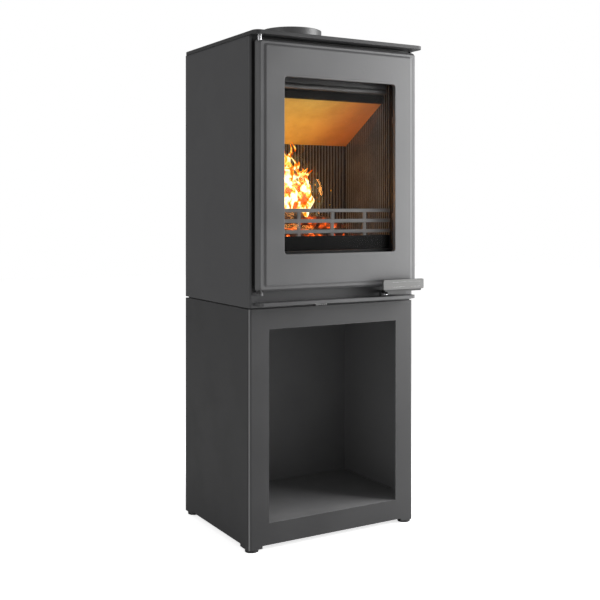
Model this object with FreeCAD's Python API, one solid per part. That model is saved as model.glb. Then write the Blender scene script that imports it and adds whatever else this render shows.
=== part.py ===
"""Wood burning stove: a steel casing with a cast iron door, standing on an open log store.

Every sub-part is written to parts/NODE.step, in millimetres.
Working axes: X to the right, Y to the back with y = 0 at the casing's front face, Z up with z = 0 at the
bottom edge of the log store's panels. place() moves each finished piece to the part's own frame, whose
origin is the centre of the overall box on the floor.
"""

import FreeCAD, Part
import math
import os

V = FreeCAD.Vector

# ---- driving dimensions ----
WIDTH = 450.0                 # casing and log store
DEPTH = 342.0
HALF = WIDTH / 2
CORNER_R = 8.0                # folded front corners
SHEET = 3.0                   # folded sheet steel
INNER = HALF - SHEET          # inside face of a side panel
REAR_FLANGE = 12.0            # side panels turn in this far at the back
FOOT_DROP = 12.0              # floor to the log store's bottom edge
LEG_DROP = 6.0                # corner legs reach below the bottom edge

BASE_TOP = 526.3              # log store panels end
CASING_Z0 = 529.7             # casing panels start, with a shadow gap between
CASING_Z1 = 1131.2            # underside of the top plate
PLATE_TOP = 1139.6
COLLAR_TOP = 1190.4

STORE_HALF = 173.7            # log store opening
STORE_Z = (47.8, 480.1)
STORE_BACK = 300.0

DOOR_CUT = 217.4              # door opening cut in the casing's front sheet, half width
DOOR_CUT_Z0 = 566.0
FRAME_Y = 3.3                 # front face of the firebox front frame
FRAME_T = 6.0
FIRE_Y = FRAME_Y + FRAME_T    # firebox starts behind the frame

DOOR_HALF = 216.0
DOOR_Z = (566.3, 1123.0)
DOOR_BACK = -12.0
DOOR_WALL = -20.0             # outer wall ends, chamfer starts
RIM_Y = -26.7
PANEL_Y = -29.7
WINDOW_HALF = 150.6
WINDOW_Z = (647.7, 1043.0)
HINGE = (-208.0, -19.5)       # door hinge axis
HINGE_R = 5.0
RUNNING = 0.05                # radial clearance of a running fit

HANDLE_PIVOT = (128.0, -20.0)
HANDLE_X = (99.0, 216.0)
HANDLE_Z = (559.6, 583.0)
HANDLE_FRONT = -55.0
HANDLE_T = 6.0

LIP_HALF = 211.0
LIP_FRONT = -31.5
LIP_Z = (534.2, 542.2)

FLUE_Y = 202.5
FLUE_R = 75.0                 # outside radius of the flue collar
AIR_R = 50.0                  # outside radius of the outside-air spigot
AIR_Z = 600.0
SPIGOT_END = 362.0
NECK_STEP = 1.5               # both spigots are this much stouter inside the stove, which seats the pipe

LINING_X = 165.0              # ribbed faces of the firebox lining
LINING_Y = 206.0
LINING_Z0 = 652.0
RIB_PITCH = 8.9
RIB_W = 3.6
RIB_D = 3.0
FIRE_HALF = 191.0             # firebox shell, outside
FIRE_T = 4.0
FIRE_Z = (640.0, 1100.0)
FIT = 0.5                     # slack between loose bricks, plates and their seats
LINING_BACK_X = FIRE_HALF - FIRE_T - FIT

FOOT_R = 15.2
FOOT_INSET = 16.0
PAD_TOP = -LEG_DROP - 0.3
STUD_R = 5.0
STUD_TOP = 26.0
TOUCH = 1e-6                  # tolerance for picking edges by their place
PAST = 1.0                    # cutting tools run this far past the faces they cut

Y_CENTRE = (HANDLE_FRONT + SPIGOT_END) / 2


# ---- helpers ----
def box(x, y, z):
    """Solid box from (low, high) pairs."""
    return Part.makeBox(x[1] - x[0], y[1] - y[0], z[1] - z[0], V(x[0], y[0], z[0]))


def wide(half, y, z):
    """Box centred on x = 0."""
    return box((-half, half), y, z)


def upright(radius, x, y, z):
    """Vertical cylinder."""
    return Part.makeCylinder(radius, z[1] - z[0], V(x, y, z[0]))


def lengthwise(radius, x, z, y):
    """Cylinder along Y."""
    return Part.makeCylinder(radius, y[1] - y[0], V(x, y[0], z), V(0, 1, 0))


def crosswise(radius, y, z, x):
    """Cylinder along X."""
    return Part.makeCylinder(radius, x[1] - x[0], V(x[0], y, z), V(1, 0, 0))


def rounded_wire(half, z, y, radius):
    """Rounded rectangle in the plane at y, centred on x = 0."""
    x0, x1, z0, z1 = -half, half, z[0], z[1]
    slant = radius * (1 - math.sqrt(0.5))
    corners = [(x1, z0, -1, 1), (x1, z1, -1, -1), (x0, z1, 1, -1), (x0, z0, 1, 1)]
    starts = [(x1 - radius, z0), (x1, z1 - radius), (x0 + radius, z1), (x0, z0 + radius)]
    ends = [(x1, z0 + radius), (x1 - radius, z1), (x0, z1 - radius), (x0 + radius, z0)]
    edges = []
    for i, (cx, cz, sx, sz) in enumerate(corners):
        a, b = V(starts[i][0], y, starts[i][1]), V(ends[i][0], y, ends[i][1])
        middle = V(cx + sx * slant, y, cz + sz * slant)
        nxt = starts[(i + 1) % 4]
        edges.append(Part.Arc(a, middle, b).toShape())
        edges.append(Part.LineSegment(b, V(nxt[0], y, nxt[1])).toShape())
    return Part.Wire(edges)


def rounded_slab(half, z, y, radius):
    """Rounded rectangle of thickness y[1] - y[0]."""
    face = Part.Face(rounded_wire(half, z, y[0], radius))
    return face.extrude(V(0, y[1] - y[0], 0))


def rounded_taper(near, far):
    """Slab whose outline changes evenly between two (half, z, y, radius) outlines."""
    return Part.makeLoft([rounded_wire(*near), rounded_wire(*far)], True, True)


def outline(points, z):
    """Plan outline (x, y) carried up from z[0] to z[1]."""
    corners = [V(x, y, z[0]) for x, y in points]
    return Part.Face(Part.makePolygon(corners + corners[:1])).extrude(V(0, 0, z[1] - z[0]))


def profile(points, x):
    """Side outline (y, z) carried across from x[0] to x[1]."""
    corners = [V(x[0], y, z) for y, z in points]
    return Part.Face(Part.makePolygon(corners + corners[:1])).extrude(V(x[1] - x[0], 0, 0))


def folded_plan(half, front, back, radius, z):
    """Plan block with rounded front corners."""
    block = box((-half, half), (front, back), z)
    if radius > 0:
        edges = [e for e in block.Edges if abs(e.BoundBox.ZLength - (z[1] - z[0])) < TOUCH
                 and abs(e.CenterOfMass.y - front) < TOUCH]
        block = block.makeFillet(radius, edges)
    return block


def folded_shell(z):
    """Two sides and a front folded from one sheet, with a narrow flange at each rear edge."""
    outer = folded_plan(HALF, 0, DEPTH, CORNER_R, z)
    inner = folded_plan(INNER, SHEET, DEPTH - SHEET, CORNER_R - SHEET, z)
    mouth = wide(INNER - REAR_FLANGE, (DEPTH - SHEET, DEPTH), z)
    return outer.cut(inner).cut(mouth)


def edges_at(shape, y=None, z=None):
    """Edges whose centre lies at the given y or z."""
    return [e for e in shape.Edges
            if (y is None or abs(e.CenterOfMass.y - y) < TOUCH) and (z is None or abs(e.CenterOfMass.z - z) < TOUCH)]


def mirror_x(shape):
    """The shape's twin on the other side of x = 0."""
    return shape.mirror(V(0, 0, 0), V(1, 0, 0))


def place(shape):
    """Working axes to the part's own frame."""
    return shape.translated(V(0, -Y_CENTRE, FOOT_DROP))


def save(name, shape):
    """Writes a node's STEP file and reports its solids."""
    if isinstance(shape, list):
        shape = Part.makeCompound(shape)
    place(shape).exportStep(f"parts/{name}.step")
    print(f"{name}: {len(shape.Solids)} solid(s), {shape.Volume / 1000:.1f} cm3, valid {shape.isValid()}")


# ---- log store ----
LEG_FRONT = 35.0              # legs' length along the front
LEG_SIDE = 41.0               # and along the sides


def base_shell():
    """Front and sides of the log store, with legs at the corners."""
    shell = folded_shell((-LEG_DROP, BASE_TOP))
    shell = shell.cut(wide(HALF - LEG_FRONT, (-1, DEPTH + 1), (-LEG_DROP, 0)))
    shell = shell.cut(wide(HALF + 1, (LEG_SIDE, DEPTH - LEG_SIDE), (-LEG_DROP, 0)))
    return shell.cut(wide(STORE_HALF, (-1, SHEET + 1), STORE_Z))


def inside_plan(back, z):
    """Plate that fits inside the folded shell, corners included."""
    return folded_plan(INNER, SHEET, back, CORNER_R - SHEET, z)


def base_top():
    """Top plate inside the log store."""
    return inside_plan(DEPTH - SHEET, (BASE_TOP - SHEET, BASE_TOP))


FLOOR_TOP = STORE_Z[0] - 0.8
FLOOR_FLANGE = 20.0


def base_floor():
    """Tray floor with its rear edge turned down."""
    tray = inside_plan(STORE_BACK, (FLOOR_TOP - SHEET, FLOOR_TOP))
    flange = wide(INNER, (STORE_BACK - SHEET, STORE_BACK), (FLOOR_TOP - FLOOR_FLANGE, FLOOR_TOP - SHEET))
    return tray.fuse(flange).removeSplitter()


def base_back():
    """Panel behind the logs."""
    return wide(INNER, (STORE_BACK, STORE_BACK + SHEET), (0, BASE_TOP - SHEET))


def foot_places():
    """Where the four feet stand."""
    near, far = FOOT_INSET, DEPTH - FOOT_INSET
    side = HALF - FOOT_INSET
    return {"front_left": (-side, near), "front_right": (side, near),
            "rear_left": (-side, far), "rear_right": (side, far)}


BRACKET = 15.6                # half width of a foot bracket, just inside the folded corner
BRACKET_TRIM = 4.0            # and this much narrower across the front
BRACKET_Z = (2.0, 6.0)
NUT_AF = 17.0
NUT_H = 8.0


def hexagon(across_flats, x, y, z):
    """Upright hexagonal prism."""
    r = across_flats / math.sqrt(3)
    return outline([(x + r * math.cos(math.radians(a)), y + r * math.sin(math.radians(a)))
                    for a in range(0, 360, 60)], z)


def foot_brackets():
    """Corner plates with a welded nut, which take the feet's studs."""
    brackets = []
    for x, y in foot_places().values():
        plate_x = (x - BRACKET + BRACKET_TRIM, INNER) if x > 0 else (-INNER, x + BRACKET - BRACKET_TRIM)
        plate_y = (SHEET, y + BRACKET) if y < DEPTH / 2 else (y - BRACKET, DEPTH - SHEET)
        plate = box(plate_x, plate_y, BRACKET_Z)
        trim = inside_plan(DEPTH - SHEET, BRACKET_Z)
        nut = hexagon(NUT_AF, x, y, (BRACKET_Z[1], BRACKET_Z[1] + NUT_H))
        hole = upright(STUD_R + RUNNING, x, y, (BRACKET_Z[0] - PAST, BRACKET_Z[1] + NUT_H + PAST))
        brackets.append(plate.common(trim).fuse(nut).removeSplitter().cut(hole))
    return brackets


def foot(x, y):
    """Round levelling foot: a chamfered pad on a threaded stud."""
    pad = upright(FOOT_R, x, y, (-FOOT_DROP, PAD_TOP))
    pad = pad.makeChamfer(1.0, edges_at(pad, z=PAD_TOP))
    stud = upright(STUD_R, x, y, (PAD_TOP, STUD_TOP))
    stud = stud.makeChamfer(0.8, edges_at(stud, z=STUD_TOP))
    return pad.fuse(stud).removeSplitter()


# ---- casing ----
SLIDER_Z = (530.0, 533.2)
SLIDER_SLOT_X = (-112.0, 12.0)


def casing_shell():
    """Front and sides of the casing, cut open for the door and the air control."""
    shell = folded_shell((CASING_Z0, CASING_Z1))
    shell = shell.cut(wide(DOOR_CUT, (-1, SHEET + 0.01), (DOOR_CUT_Z0, CASING_Z1)))
    return shell.cut(box(SLIDER_SLOT_X, (-1, SHEET + 1), (CASING_Z0, LIP_Z[0] - 0.2)))


SHADOW_GAP = 6.0


def casing_floor():
    """Plate that the casing stands on, set back so that a shadow gap shows all round."""
    return wide(HALF - SHADOW_GAP, (SHADOW_GAP, DEPTH - SHADOW_GAP), (BASE_TOP, CASING_Z0))


VENT_ROWS = (1040.0, 1056.0, 1072.0, 1088.0)
VENT_X = (-105.0, -35.0, 35.0, 105.0)
VENT_HALF = 26.0
VENT_R = 3.0


def rear_panel():
    """Rear cover with rows of convection slots and a hole for the air spigot."""
    y = (DEPTH - 2 * SHEET, DEPTH - SHEET)
    panel = wide(INNER, y, (CASING_Z0, CASING_Z1))
    cuts = [lengthwise(AIR_R + NECK_STEP + 0.5, 0, AIR_Z, (y[0] - 1, y[1] + 1))]
    for z in VENT_ROWS:
        for x in VENT_X:
            cuts.append(box((x - VENT_HALF, x + VENT_HALF), (y[0] - 1, y[1] + 1), (z - VENT_R, z + VENT_R)))
            for end in (x - VENT_HALF, x + VENT_HALF):
                cuts.append(lengthwise(VENT_R, end, z, (y[0] - 1, y[1] + 1)))
    return panel.cut(Part.makeCompound(cuts).Solids)


REAR_SCREW_Z = (560.0, 700.0, 840.0, 980.0, 1110.0)
REAR_SCREW_X = HALF - 9
PAN_HEAD = (4.0, 2.4, 1.2, 1.6)   # radius, height, rounding, socket radius


def rear_screws():
    """Pan-head screws through the rear flanges."""
    radius, height, rounding, socket_r = PAN_HEAD
    top = DEPTH + height
    screws = []
    for z in REAR_SCREW_Z:
        for x in (-REAR_SCREW_X, REAR_SCREW_X):
            head = lengthwise(radius, x, z, (DEPTH, top))
            head = head.makeFillet(rounding, edges_at(head, y=top))
            screws.append(head.cut(lengthwise(socket_r, x, z, (DEPTH + height - 1.4, top + PAST))))
    return screws


PLATE_FRONT = -38.0
PLATE_SIDE = HALF + 3
PLATE_BACK = DEPTH + 2
PLATE_CORNER = 15.0
PLATE_EDGE = 0.8
HOLE_GAP = 0.4                # gap round the collar in the top plate
PIN_TOP = 1137.0              # the upper hinge pin's seat in the plate


def top_plate():
    """Thick plate overhanging the door, with the flue hole and the seat of the upper hinge pin."""
    plate = wide(PLATE_SIDE, (PLATE_FRONT, PLATE_BACK), (CASING_Z1, PLATE_TOP))
    corners = [e for e in plate.Edges if abs(e.BoundBox.ZLength - (PLATE_TOP - CASING_Z1)) < TOUCH]
    plate = plate.makeFillet(PLATE_CORNER, corners)
    plate = plate.makeChamfer(PLATE_EDGE, [e for e in plate.Edges if e.BoundBox.ZLength < TOUCH])
    hole = upright(FLUE_R + NECK_STEP + HOLE_GAP, 0, FLUE_Y, (CASING_Z1 - PAST, PLATE_TOP + PAST))
    return plate.cut(hole).cut(upright(HINGE_R, *HINGE, (CASING_Z1 - PAST, PIN_TOP)))


COLLAR_WALL = 3.0
COLLAR_FLANGE = (18.0, 4.0)   # reach beyond the tube, thickness
COLLAR_RIM = 0.9
BOLT_REACH = 10.5
BOLT_AF = 8.0
BOLT_H = 4.0


def flue_collar():
    """Spun collar: a tube on a flange that is bolted to the firebox roof."""
    z0 = FIRE_Z[1]
    neck = upright(FLUE_R + NECK_STEP, 0, FLUE_Y, (z0, PLATE_TOP))
    tube = upright(FLUE_R, 0, FLUE_Y, (PLATE_TOP, COLLAR_TOP))
    flange = upright(FLUE_R + COLLAR_FLANGE[0], 0, FLUE_Y, (z0, z0 + COLLAR_FLANGE[1]))
    duct = upright(FLUE_R - COLLAR_WALL, 0, FLUE_Y, (z0 - PAST, COLLAR_TOP + PAST))
    body = neck.fuse(tube).fuse(flange).cut(duct)
    return body.makeFillet(COLLAR_RIM, edges_at(body, z=COLLAR_TOP))


def collar_bolts():
    """Hexagon heads on the collar's flange."""
    reach = FLUE_R + BOLT_REACH
    z = FIRE_Z[1] + COLLAR_FLANGE[1]
    return [hexagon(BOLT_AF, reach * math.cos(a), FLUE_Y + reach * math.sin(a), (z, z + BOLT_H))
            for a in (math.radians(45 + 90 * i) for i in range(4))]


LIP_CORNER = 8.0
LIP_EDGE = 0.7


def ash_lip():
    """Thick shelf in front of the door's foot."""
    lip = folded_plan(LIP_HALF, LIP_FRONT, 0, LIP_CORNER, LIP_Z)
    rim = [e for e in lip.Edges if e.BoundBox.ZLength < TOUCH and e.CenterOfMass.y < -TOUCH]
    return lip.makeChamfer(LIP_EDGE, rim)


SPIGOT_WALL = 1.5
SPIGOT_FLANGE = (10.0, 2.0)   # reach beyond the tube, thickness
SPIGOT_INSIDE = 20.0          # length inside the rear panel


def air_spigot():
    """Round spigot for an outside-air duct, with a flange inside the rear panel."""
    y0 = DEPTH - 2 * SHEET
    neck = lengthwise(AIR_R + NECK_STEP, 0, AIR_Z, (y0 - SPIGOT_INSIDE, DEPTH))
    tube = lengthwise(AIR_R, 0, AIR_Z, (DEPTH, SPIGOT_END))
    flange = lengthwise(AIR_R + SPIGOT_FLANGE[0], 0, AIR_Z, (y0 - SPIGOT_FLANGE[1], y0))
    return neck.fuse(tube).fuse(flange).cut(lengthwise(AIR_R - SPIGOT_WALL, 0, AIR_Z, (0, SPIGOT_END + PAST)))


# ---- firebox ----
FRAME_OPEN = (165.0, (652.0, 1062.0))
ASH_OPEN = (104.0, (592.0, 632.0))
CHAMBER_BACK = 250.0          # lower back wall of the firebox, outside
SMOKE_BACK = 300.0            # the smoke chamber above it reaches further back
SMOKE_Z = 950.0


def front_frame():
    """Heavy plate that the door closes on: firebox opening above, ash pan opening below."""
    y = (FRAME_Y, FIRE_Y)
    gap = FRAME_Y - SHEET
    z = (CASING_Z0, CASING_Z1)
    plate = wide(INNER - gap, y, z).common(folded_plan(INNER - gap, FRAME_Y, DEPTH, CORNER_R - FRAME_Y, z))
    plate = plate.cut(rounded_slab(FRAME_OPEN[0], FRAME_OPEN[1], (y[0] - 1, y[1] + 1), 4))
    plate = plate.cut(rounded_slab(ASH_OPEN[0], ASH_OPEN[1], (y[0] - 1, y[1] + 1), 4))
    return plate.cut(box(SLIDER_SLOT_X, (y[0] - 1, y[1] + 1), (CASING_Z0, LIP_Z[0] - 0.2)))


def firebox_shell():
    """Welded box: a shallow fire chamber and a deeper smoke chamber over it."""
    t = FIRE_T
    lower = wide(FIRE_HALF, (FIRE_Y, CHAMBER_BACK), FIRE_Z)
    upper = wide(FIRE_HALF, (FIRE_Y, SMOKE_BACK), (SMOKE_Z, FIRE_Z[1]))
    room = wide(FIRE_HALF - t, (FIRE_Y - 1, CHAMBER_BACK - t), (FIRE_Z[0] + t, FIRE_Z[1] - t))
    smoke = wide(FIRE_HALF - t, (FIRE_Y - 1, SMOKE_BACK - t), (SMOKE_Z + t, FIRE_Z[1] - t))
    shell = lower.fuse(upper).removeSplitter().cut(room).cut(smoke)
    shell = shell.cut(upright(FLUE_R - COLLAR_WALL, 0, FLUE_Y, (FIRE_Z[1] - t - PAST, FIRE_Z[1] + PAST)))
    return shell.cut(grate_hole(0, (FIRE_Z[0] - 1, FIRE_Z[0] + t + 1)))


def ribbed(start, end, face, back):
    """Comb outline along one direction: ridges RIB_W wide stand RIB_D proud of the grooves at face.
    Returns (along, across) points."""
    count = int((end - start - RIB_W) // RIB_PITCH) + 1
    margin = (end - start - (count - 1) * RIB_PITCH - RIB_W) / 2
    groove = face + RIB_D if back > face else face - RIB_D
    points = [(start, back), (start, groove)]
    for i in range(count):
        a = start + margin + i * RIB_PITCH
        points += [(a, groove), (a + 0.4, face), (a + RIB_W - 0.4, face), (a + RIB_W, groove)]
    return points + [(end, groove), (end, back)]


SIDE_LINING_Y = (12.0, 245.0)
LINING_TOP = 1060.0
BAFFLE_FRONT = (45.0, 1006.0)
BAFFLE_REAR_Z = 910.0
BAFFLE_T = 24.0
BAFFLE_SEAT = 18.0            # the rear edge rests this far over the rear lining


def side_lining(sign):
    """Ribbed slab along one side of the fire chamber: sign is -1 on the left and 1 on the right."""
    comb = ribbed(SIDE_LINING_Y[0], SIDE_LINING_Y[1], LINING_X, LINING_BACK_X)
    points = [(sign * across, along) for along, across in comb]
    return outline(points, (LINING_Z0, LINING_TOP))


def rear_lining():
    """Ribbed slab across the back, between the side linings and under the baffle."""
    half = LINING_X - RIB_D - 0.2
    return outline(ribbed(-half, half, LINING_Y, CHAMBER_BACK - FIRE_T - FIT), (LINING_Z0, BAFFLE_REAR_Z))


def baffle():
    """Sloping vermiculite slab that the flames turn under; its rear edge rests on the rear lining."""
    y0, z0 = BAFFLE_FRONT
    slope = (z0 - BAFFLE_REAR_Z) / (LINING_Y - y0)
    tall = BAFFLE_T * math.hypot(1, slope)
    rear = LINING_Y + BAFFLE_SEAT
    return profile([(y0, z0), (LINING_Y, BAFFLE_REAR_Z), (rear, BAFFLE_REAR_Z),
                    (rear, z0 + tall - slope * (rear - y0)), (y0, z0 + tall)],
                   (-LINING_X + FIT, LINING_X - FIT))


RAIL_T = 4.0
RAIL_Z = (BAFFLE_FRONT[1] - 2, BAFFLE_FRONT[1] + 24)


def baffle_rail():
    """Bar across the firebox that the baffle's front edge rests against."""
    y = BAFFLE_FRONT[0] - 0.3
    return wide(LINING_X - FIT, (y - RAIL_T, y), RAIL_Z)


DEFLECTOR_FRONT = 90.0
DEFLECTOR_Z = (LINING_TOP + 2, LINING_TOP + 5)


def smoke_deflector():
    """Second steel plate that turns the smoke forward once more before the flue."""
    return wide(LINING_BACK_X, (DEFLECTOR_FRONT, SMOKE_BACK - FIRE_T - FIT), DEFLECTOR_Z)


NOSE_Y = 12.5
NOSE_Z = 1029.0
NOSE_R = 7.0
WEB_T = 3.0
WEB_TOP = FRAME_OPEN[1][1] + 20


def air_wash_bar():
    """Air-wash strip hung behind the frame's top edge, with a round nose along its lower edge."""
    nose = crosswise(NOSE_R, NOSE_Y, NOSE_Z, (-WINDOW_HALF, WINDOW_HALF))
    web = wide(WINDOW_HALF, (FIRE_Y, FIRE_Y + WEB_T), (NOSE_Z, WEB_TOP))
    return nose.fuse(web).removeSplitter()


GRATE_X = 88.0
GRATE_Y = (60.0, 176.0)
RETAINER_Y = (14.0, 18.0)
RETAINER_TOP = 686.0
GRATE_SLOTS = 9
SLOT_SHARE = 0.44             # share of the pitch that each slot takes
SLOT_MARGIN = (8.0, 10.0)     # solid border left of and in front of the slots
GRATE_RIM = 8.0               # the grate's flange rests on the firebox floor round its hole


def grate_hole(margin, z):
    """Block the size of the grate's hole in the floor, or larger by margin."""
    return box((-GRATE_X - margin, GRATE_X + margin), (GRATE_Y[0] - margin, GRATE_Y[1] + margin), z)


def hearth():
    """Bottom slab round the grate."""
    z = (FIRE_Z[0] + FIRE_T, LINING_Z0)
    slab = wide(LINING_BACK_X, (RETAINER_Y[1] + 0.3, CHAMBER_BACK - FIRE_T - FIT), z)
    return slab.cut(grate_hole(GRATE_RIM, (z[0] - 1, z[1] + 1)))


def grate():
    """Cast iron fire grate with long slots and a flange."""
    floor = FIRE_Z[0] + FIRE_T
    foot = FIRE_Z[0] - 1
    body = grate_hole(-FIT, (foot, floor)).fuse(grate_hole(GRATE_RIM - FIT, (floor, LINING_Z0)))
    body = body.removeSplitter()
    start = -GRATE_X + SLOT_MARGIN[0]
    pitch = -2 * start / GRATE_SLOTS
    edge = (1 - SLOT_SHARE) / 2
    slots = [box((start + pitch * (i + edge), start + pitch * (i + 1 - edge)),
                 (GRATE_Y[0] + SLOT_MARGIN[1], GRATE_Y[1] - SLOT_MARGIN[1]), (foot - PAST, LINING_Z0 + PAST))
             for i in range(GRATE_SLOTS)]
    return body.cut(slots)


def retainer():
    """Upright plate that keeps ash behind the window's foot."""
    return wide(LINING_X - FIT, RETAINER_Y, (FRAME_OPEN[1][0] + FIT, RETAINER_TOP))


FENCE_BARS = ((740.9, 749.3), (716.5, 725.2), (692.4, 700.6))
FENCE_Y = 10.0
FENCE_T = 5.0
FENCE_POSTS = (-90.0, 0.0, 90.0)
FENCE_HALF = LINING_X - FIT
POST_HALF = 4.5
POST_SET = 0.5                # posts stand back from the bars' front and top by this much
HOOK_T = 3.0
HOOK_DROP = 14.0
RUNNING_GAP = 0.1             # gap between parts that hook together


def fence_bar(z):
    """Flat bar from one side lining to the other."""
    return wide(FENCE_HALF, (FENCE_Y, FENCE_Y + FENCE_T), z)


def fence_post(x):
    """Post between the bars, standing on the retainer, with a hook down its back."""
    across = (x - POST_HALF, x + POST_HALF)
    back = RETAINER_Y[1] + RUNNING_GAP
    foot = RETAINER_TOP + RUNNING_GAP
    front = FENCE_Y + POST_SET
    post = box(across, (front, RETAINER_Y[0] - RUNNING_GAP), (foot, FENCE_BARS[0][1] - POST_SET))
    bridge = box(across, (front, back + HOOK_T), (foot, foot + HOOK_T))
    hook = box(across, (back, back + HOOK_T), (RETAINER_TOP - HOOK_DROP, foot + HOOK_T))
    return [post, bridge, hook]


def log_fence():
    """Three bars on three posts, which hook over the retainer."""
    bars = [fence_bar(z) for z in FENCE_BARS]
    for x in FENCE_POSTS:
        bars += fence_post(x)
    return bars[0].multiFuse(bars[1:]).removeSplitter()


BOX_HALF = 120.0              # air and ash chamber under the firebox
BOX_BACK = 240.0
BOX_Z = (534.0, 640.0)
BOX_T = 2.0
AIR_SLOT_X = (-75.0, -35.0)   # air inlet in the chamber's floor
SHUTTER_X = (-60.0, -10.0)    # shutter at mid setting
SHUTTER_Y = (60.0, 120.0)
AIR_SLOT_Y = (SHUTTER_Y[0] + 10, SHUTTER_Y[1] - 10)


def air_box():
    """Sheet steel chamber that holds the ash pan and feeds air to the grate."""
    y = (FIRE_Y, BOX_BACK)
    shell = wide(BOX_HALF, y, BOX_Z)
    shell = shell.cut(wide(BOX_HALF - BOX_T, (y[0] - PAST, y[1] - BOX_T), (BOX_Z[0] + BOX_T, BOX_Z[1] + PAST)))
    return shell.cut(box(AIR_SLOT_X, AIR_SLOT_Y, (BOX_Z[0] - PAST, BOX_Z[0] + BOX_T + PAST)))


PAN_Z = (ASH_OPEN[1][0] + 1.0, ASH_OPEN[1][1] - 3.0)
PAN_HALF = ASH_OPEN[0] - 3
PAN_Y = (FRAME_Y + 1, 225.0)
PAN_T = 1.5
PAN_FRONT_T = 2.0
TAB_HALF = 22.0
TAB_OUT = 5.0
TAB_Z = (PAN_Z[1] - 12, PAN_Z[1] - 9)


def ash_pan():
    """Folded tray with a front plate and a finger tab."""
    inside = wide(PAN_HALF - PAN_T, (PAN_Y[0] + PAN_FRONT_T, PAN_Y[1] - PAN_T), (PAN_Z[0] + PAN_T, PAN_Z[1] + PAST))
    tab = wide(TAB_HALF, (PAN_Y[0] - TAB_OUT, PAN_Y[0]), TAB_Z)
    return wide(PAN_HALF, PAN_Y, PAN_Z).cut(inside).fuse(tab).removeSplitter()


def pan_rails():
    """Two flat rails that carry the ash pan."""
    z = (PAN_Z[0] - 3.2, PAN_Z[0] - 0.2)
    x = (ASH_OPEN[0] - 12, BOX_HALF - BOX_T)
    rail = box(x, (FIRE_Y + 1, BOX_BACK - 4), z)
    return [rail, mirror_x(rail)]


SLIDER_TAB = (-65.0, -35.0)
SLIDER_FRONT = -22.0
SLIDER_TAB_BACK = 20.0
SLIDER_ARM = (-56.0, -44.0)
NOTCHES = 5
NOTCH_W = 2.4
NOTCH_DEPTH = 2.5
NOTCH_START = SLIDER_TAB[0] + 4.3


def air_slider():
    """Flat air control: a notched finger tab under the lip, an arm and a shutter plate."""
    tab = box(SLIDER_TAB, (SLIDER_FRONT, SLIDER_TAB_BACK), SLIDER_Z)
    arm = box(SLIDER_ARM, (SLIDER_TAB_BACK, SHUTTER_Y[0]), SLIDER_Z)
    shutter = box(SHUTTER_X, SHUTTER_Y, SLIDER_Z)
    body = tab.fuse([arm, shutter]).removeSplitter()
    notches = [box((x, x + NOTCH_W), (SLIDER_FRONT - PAST, SLIDER_FRONT + NOTCH_DEPTH),
                   (SLIDER_Z[0] - PAST, SLIDER_Z[1] + PAST))
               for x in (NOTCH_START + 2 * NOTCH_W * i for i in range(NOTCHES))]
    return body.cut(notches)


# ---- hinge and keeper, fixed to the casing ----
PIN_DEPTH = 14.0              # how far the pins reach into the door
LUG_Z = (558.5, 563.5)
LUG_R = 8.0
WASHER_R = 7.5


def hinge_pin_upper():
    """Pin in the top plate, down into the door."""
    return upright(HINGE_R, *HINGE, (DOOR_Z[1] - PIN_DEPTH, PIN_TOP))


def hinge_pin_lower():
    """Pin in the lug, up into the door."""
    return upright(HINGE_R, *HINGE, (LUG_Z[0], DOOR_Z[0] + PIN_DEPTH))


def hinge_lug():
    """Lug that carries the lower pin, rounded about the hinge axis."""
    x, y = HINGE
    body = upright(LUG_R, x, y, LUG_Z).fuse(box((x - LUG_R, x + LUG_R), (y, 0), LUG_Z)).removeSplitter()
    return body.cut(upright(HINGE_R, x, y, (LUG_Z[0] - 1, LUG_Z[1] + 1)))


def hinge_washer():
    """Thin washer between the lug and the door."""
    disc = upright(WASHER_R, *HINGE, (LUG_Z[1], DOOR_Z[0] - 0.2))
    return disc.cut(upright(HINGE_R + 0.3, *HINGE, (LUG_Z[1] - 1, DOOR_Z[0])))


KEEPER = (HANDLE_PIVOT[0] - 9.0, HANDLE_PIVOT[1] + 6.5)
KEEPER_R = 3.0
KEEPER_TOP = 556.0


def keeper_pin():
    """Stud on the lip that the latch finger closes beside."""
    pin = upright(KEEPER_R, *KEEPER, (LIP_Z[1], KEEPER_TOP))
    return pin.makeFillet(0.8, edges_at(pin, z=KEEPER_TOP))


# ---- door ----
PIVOT_R = 4.0                 # handle's pivot pin
CHANNEL = ((206.0, (573.0, 1116.0)), (203.0, (576.0, 1113.0)),
           (194.0, (585.0, 1104.0)), (191.0, (588.0, 1101.0)))


def ring(outer, inner, y, radius):
    """Rounded rectangular ring between two (half, z) outlines."""
    step = outer[0] - inner[0]
    return rounded_slab(*outer, y, radius).cut(
        rounded_slab(*inner, (y[0] - 1, y[1] + 1), max(radius - step, 0.8)))


DOOR_CORNER = 9.0
RIM = (DOOR_HALF - 6, (DOOR_Z[0] + 5.5, DOOR_Z[1] - 5.5))
PANEL_FOOT = (200.0, (577.0, 1112.7))     # where the raised panel leaves the rim
PANEL_FACE = (196.5, (581.3, 1108.0))
WINDOW_CORNER = 5.0
CHANNEL_BACK = -3.0
JAMB_DEPTH = 10.0             # the window is this deep before it widens into a rebate
REBATE = (WINDOW_HALF + 7.4, (WINDOW_Z[0] - 7.4, WINDOW_Z[1] + 7.4))


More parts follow.
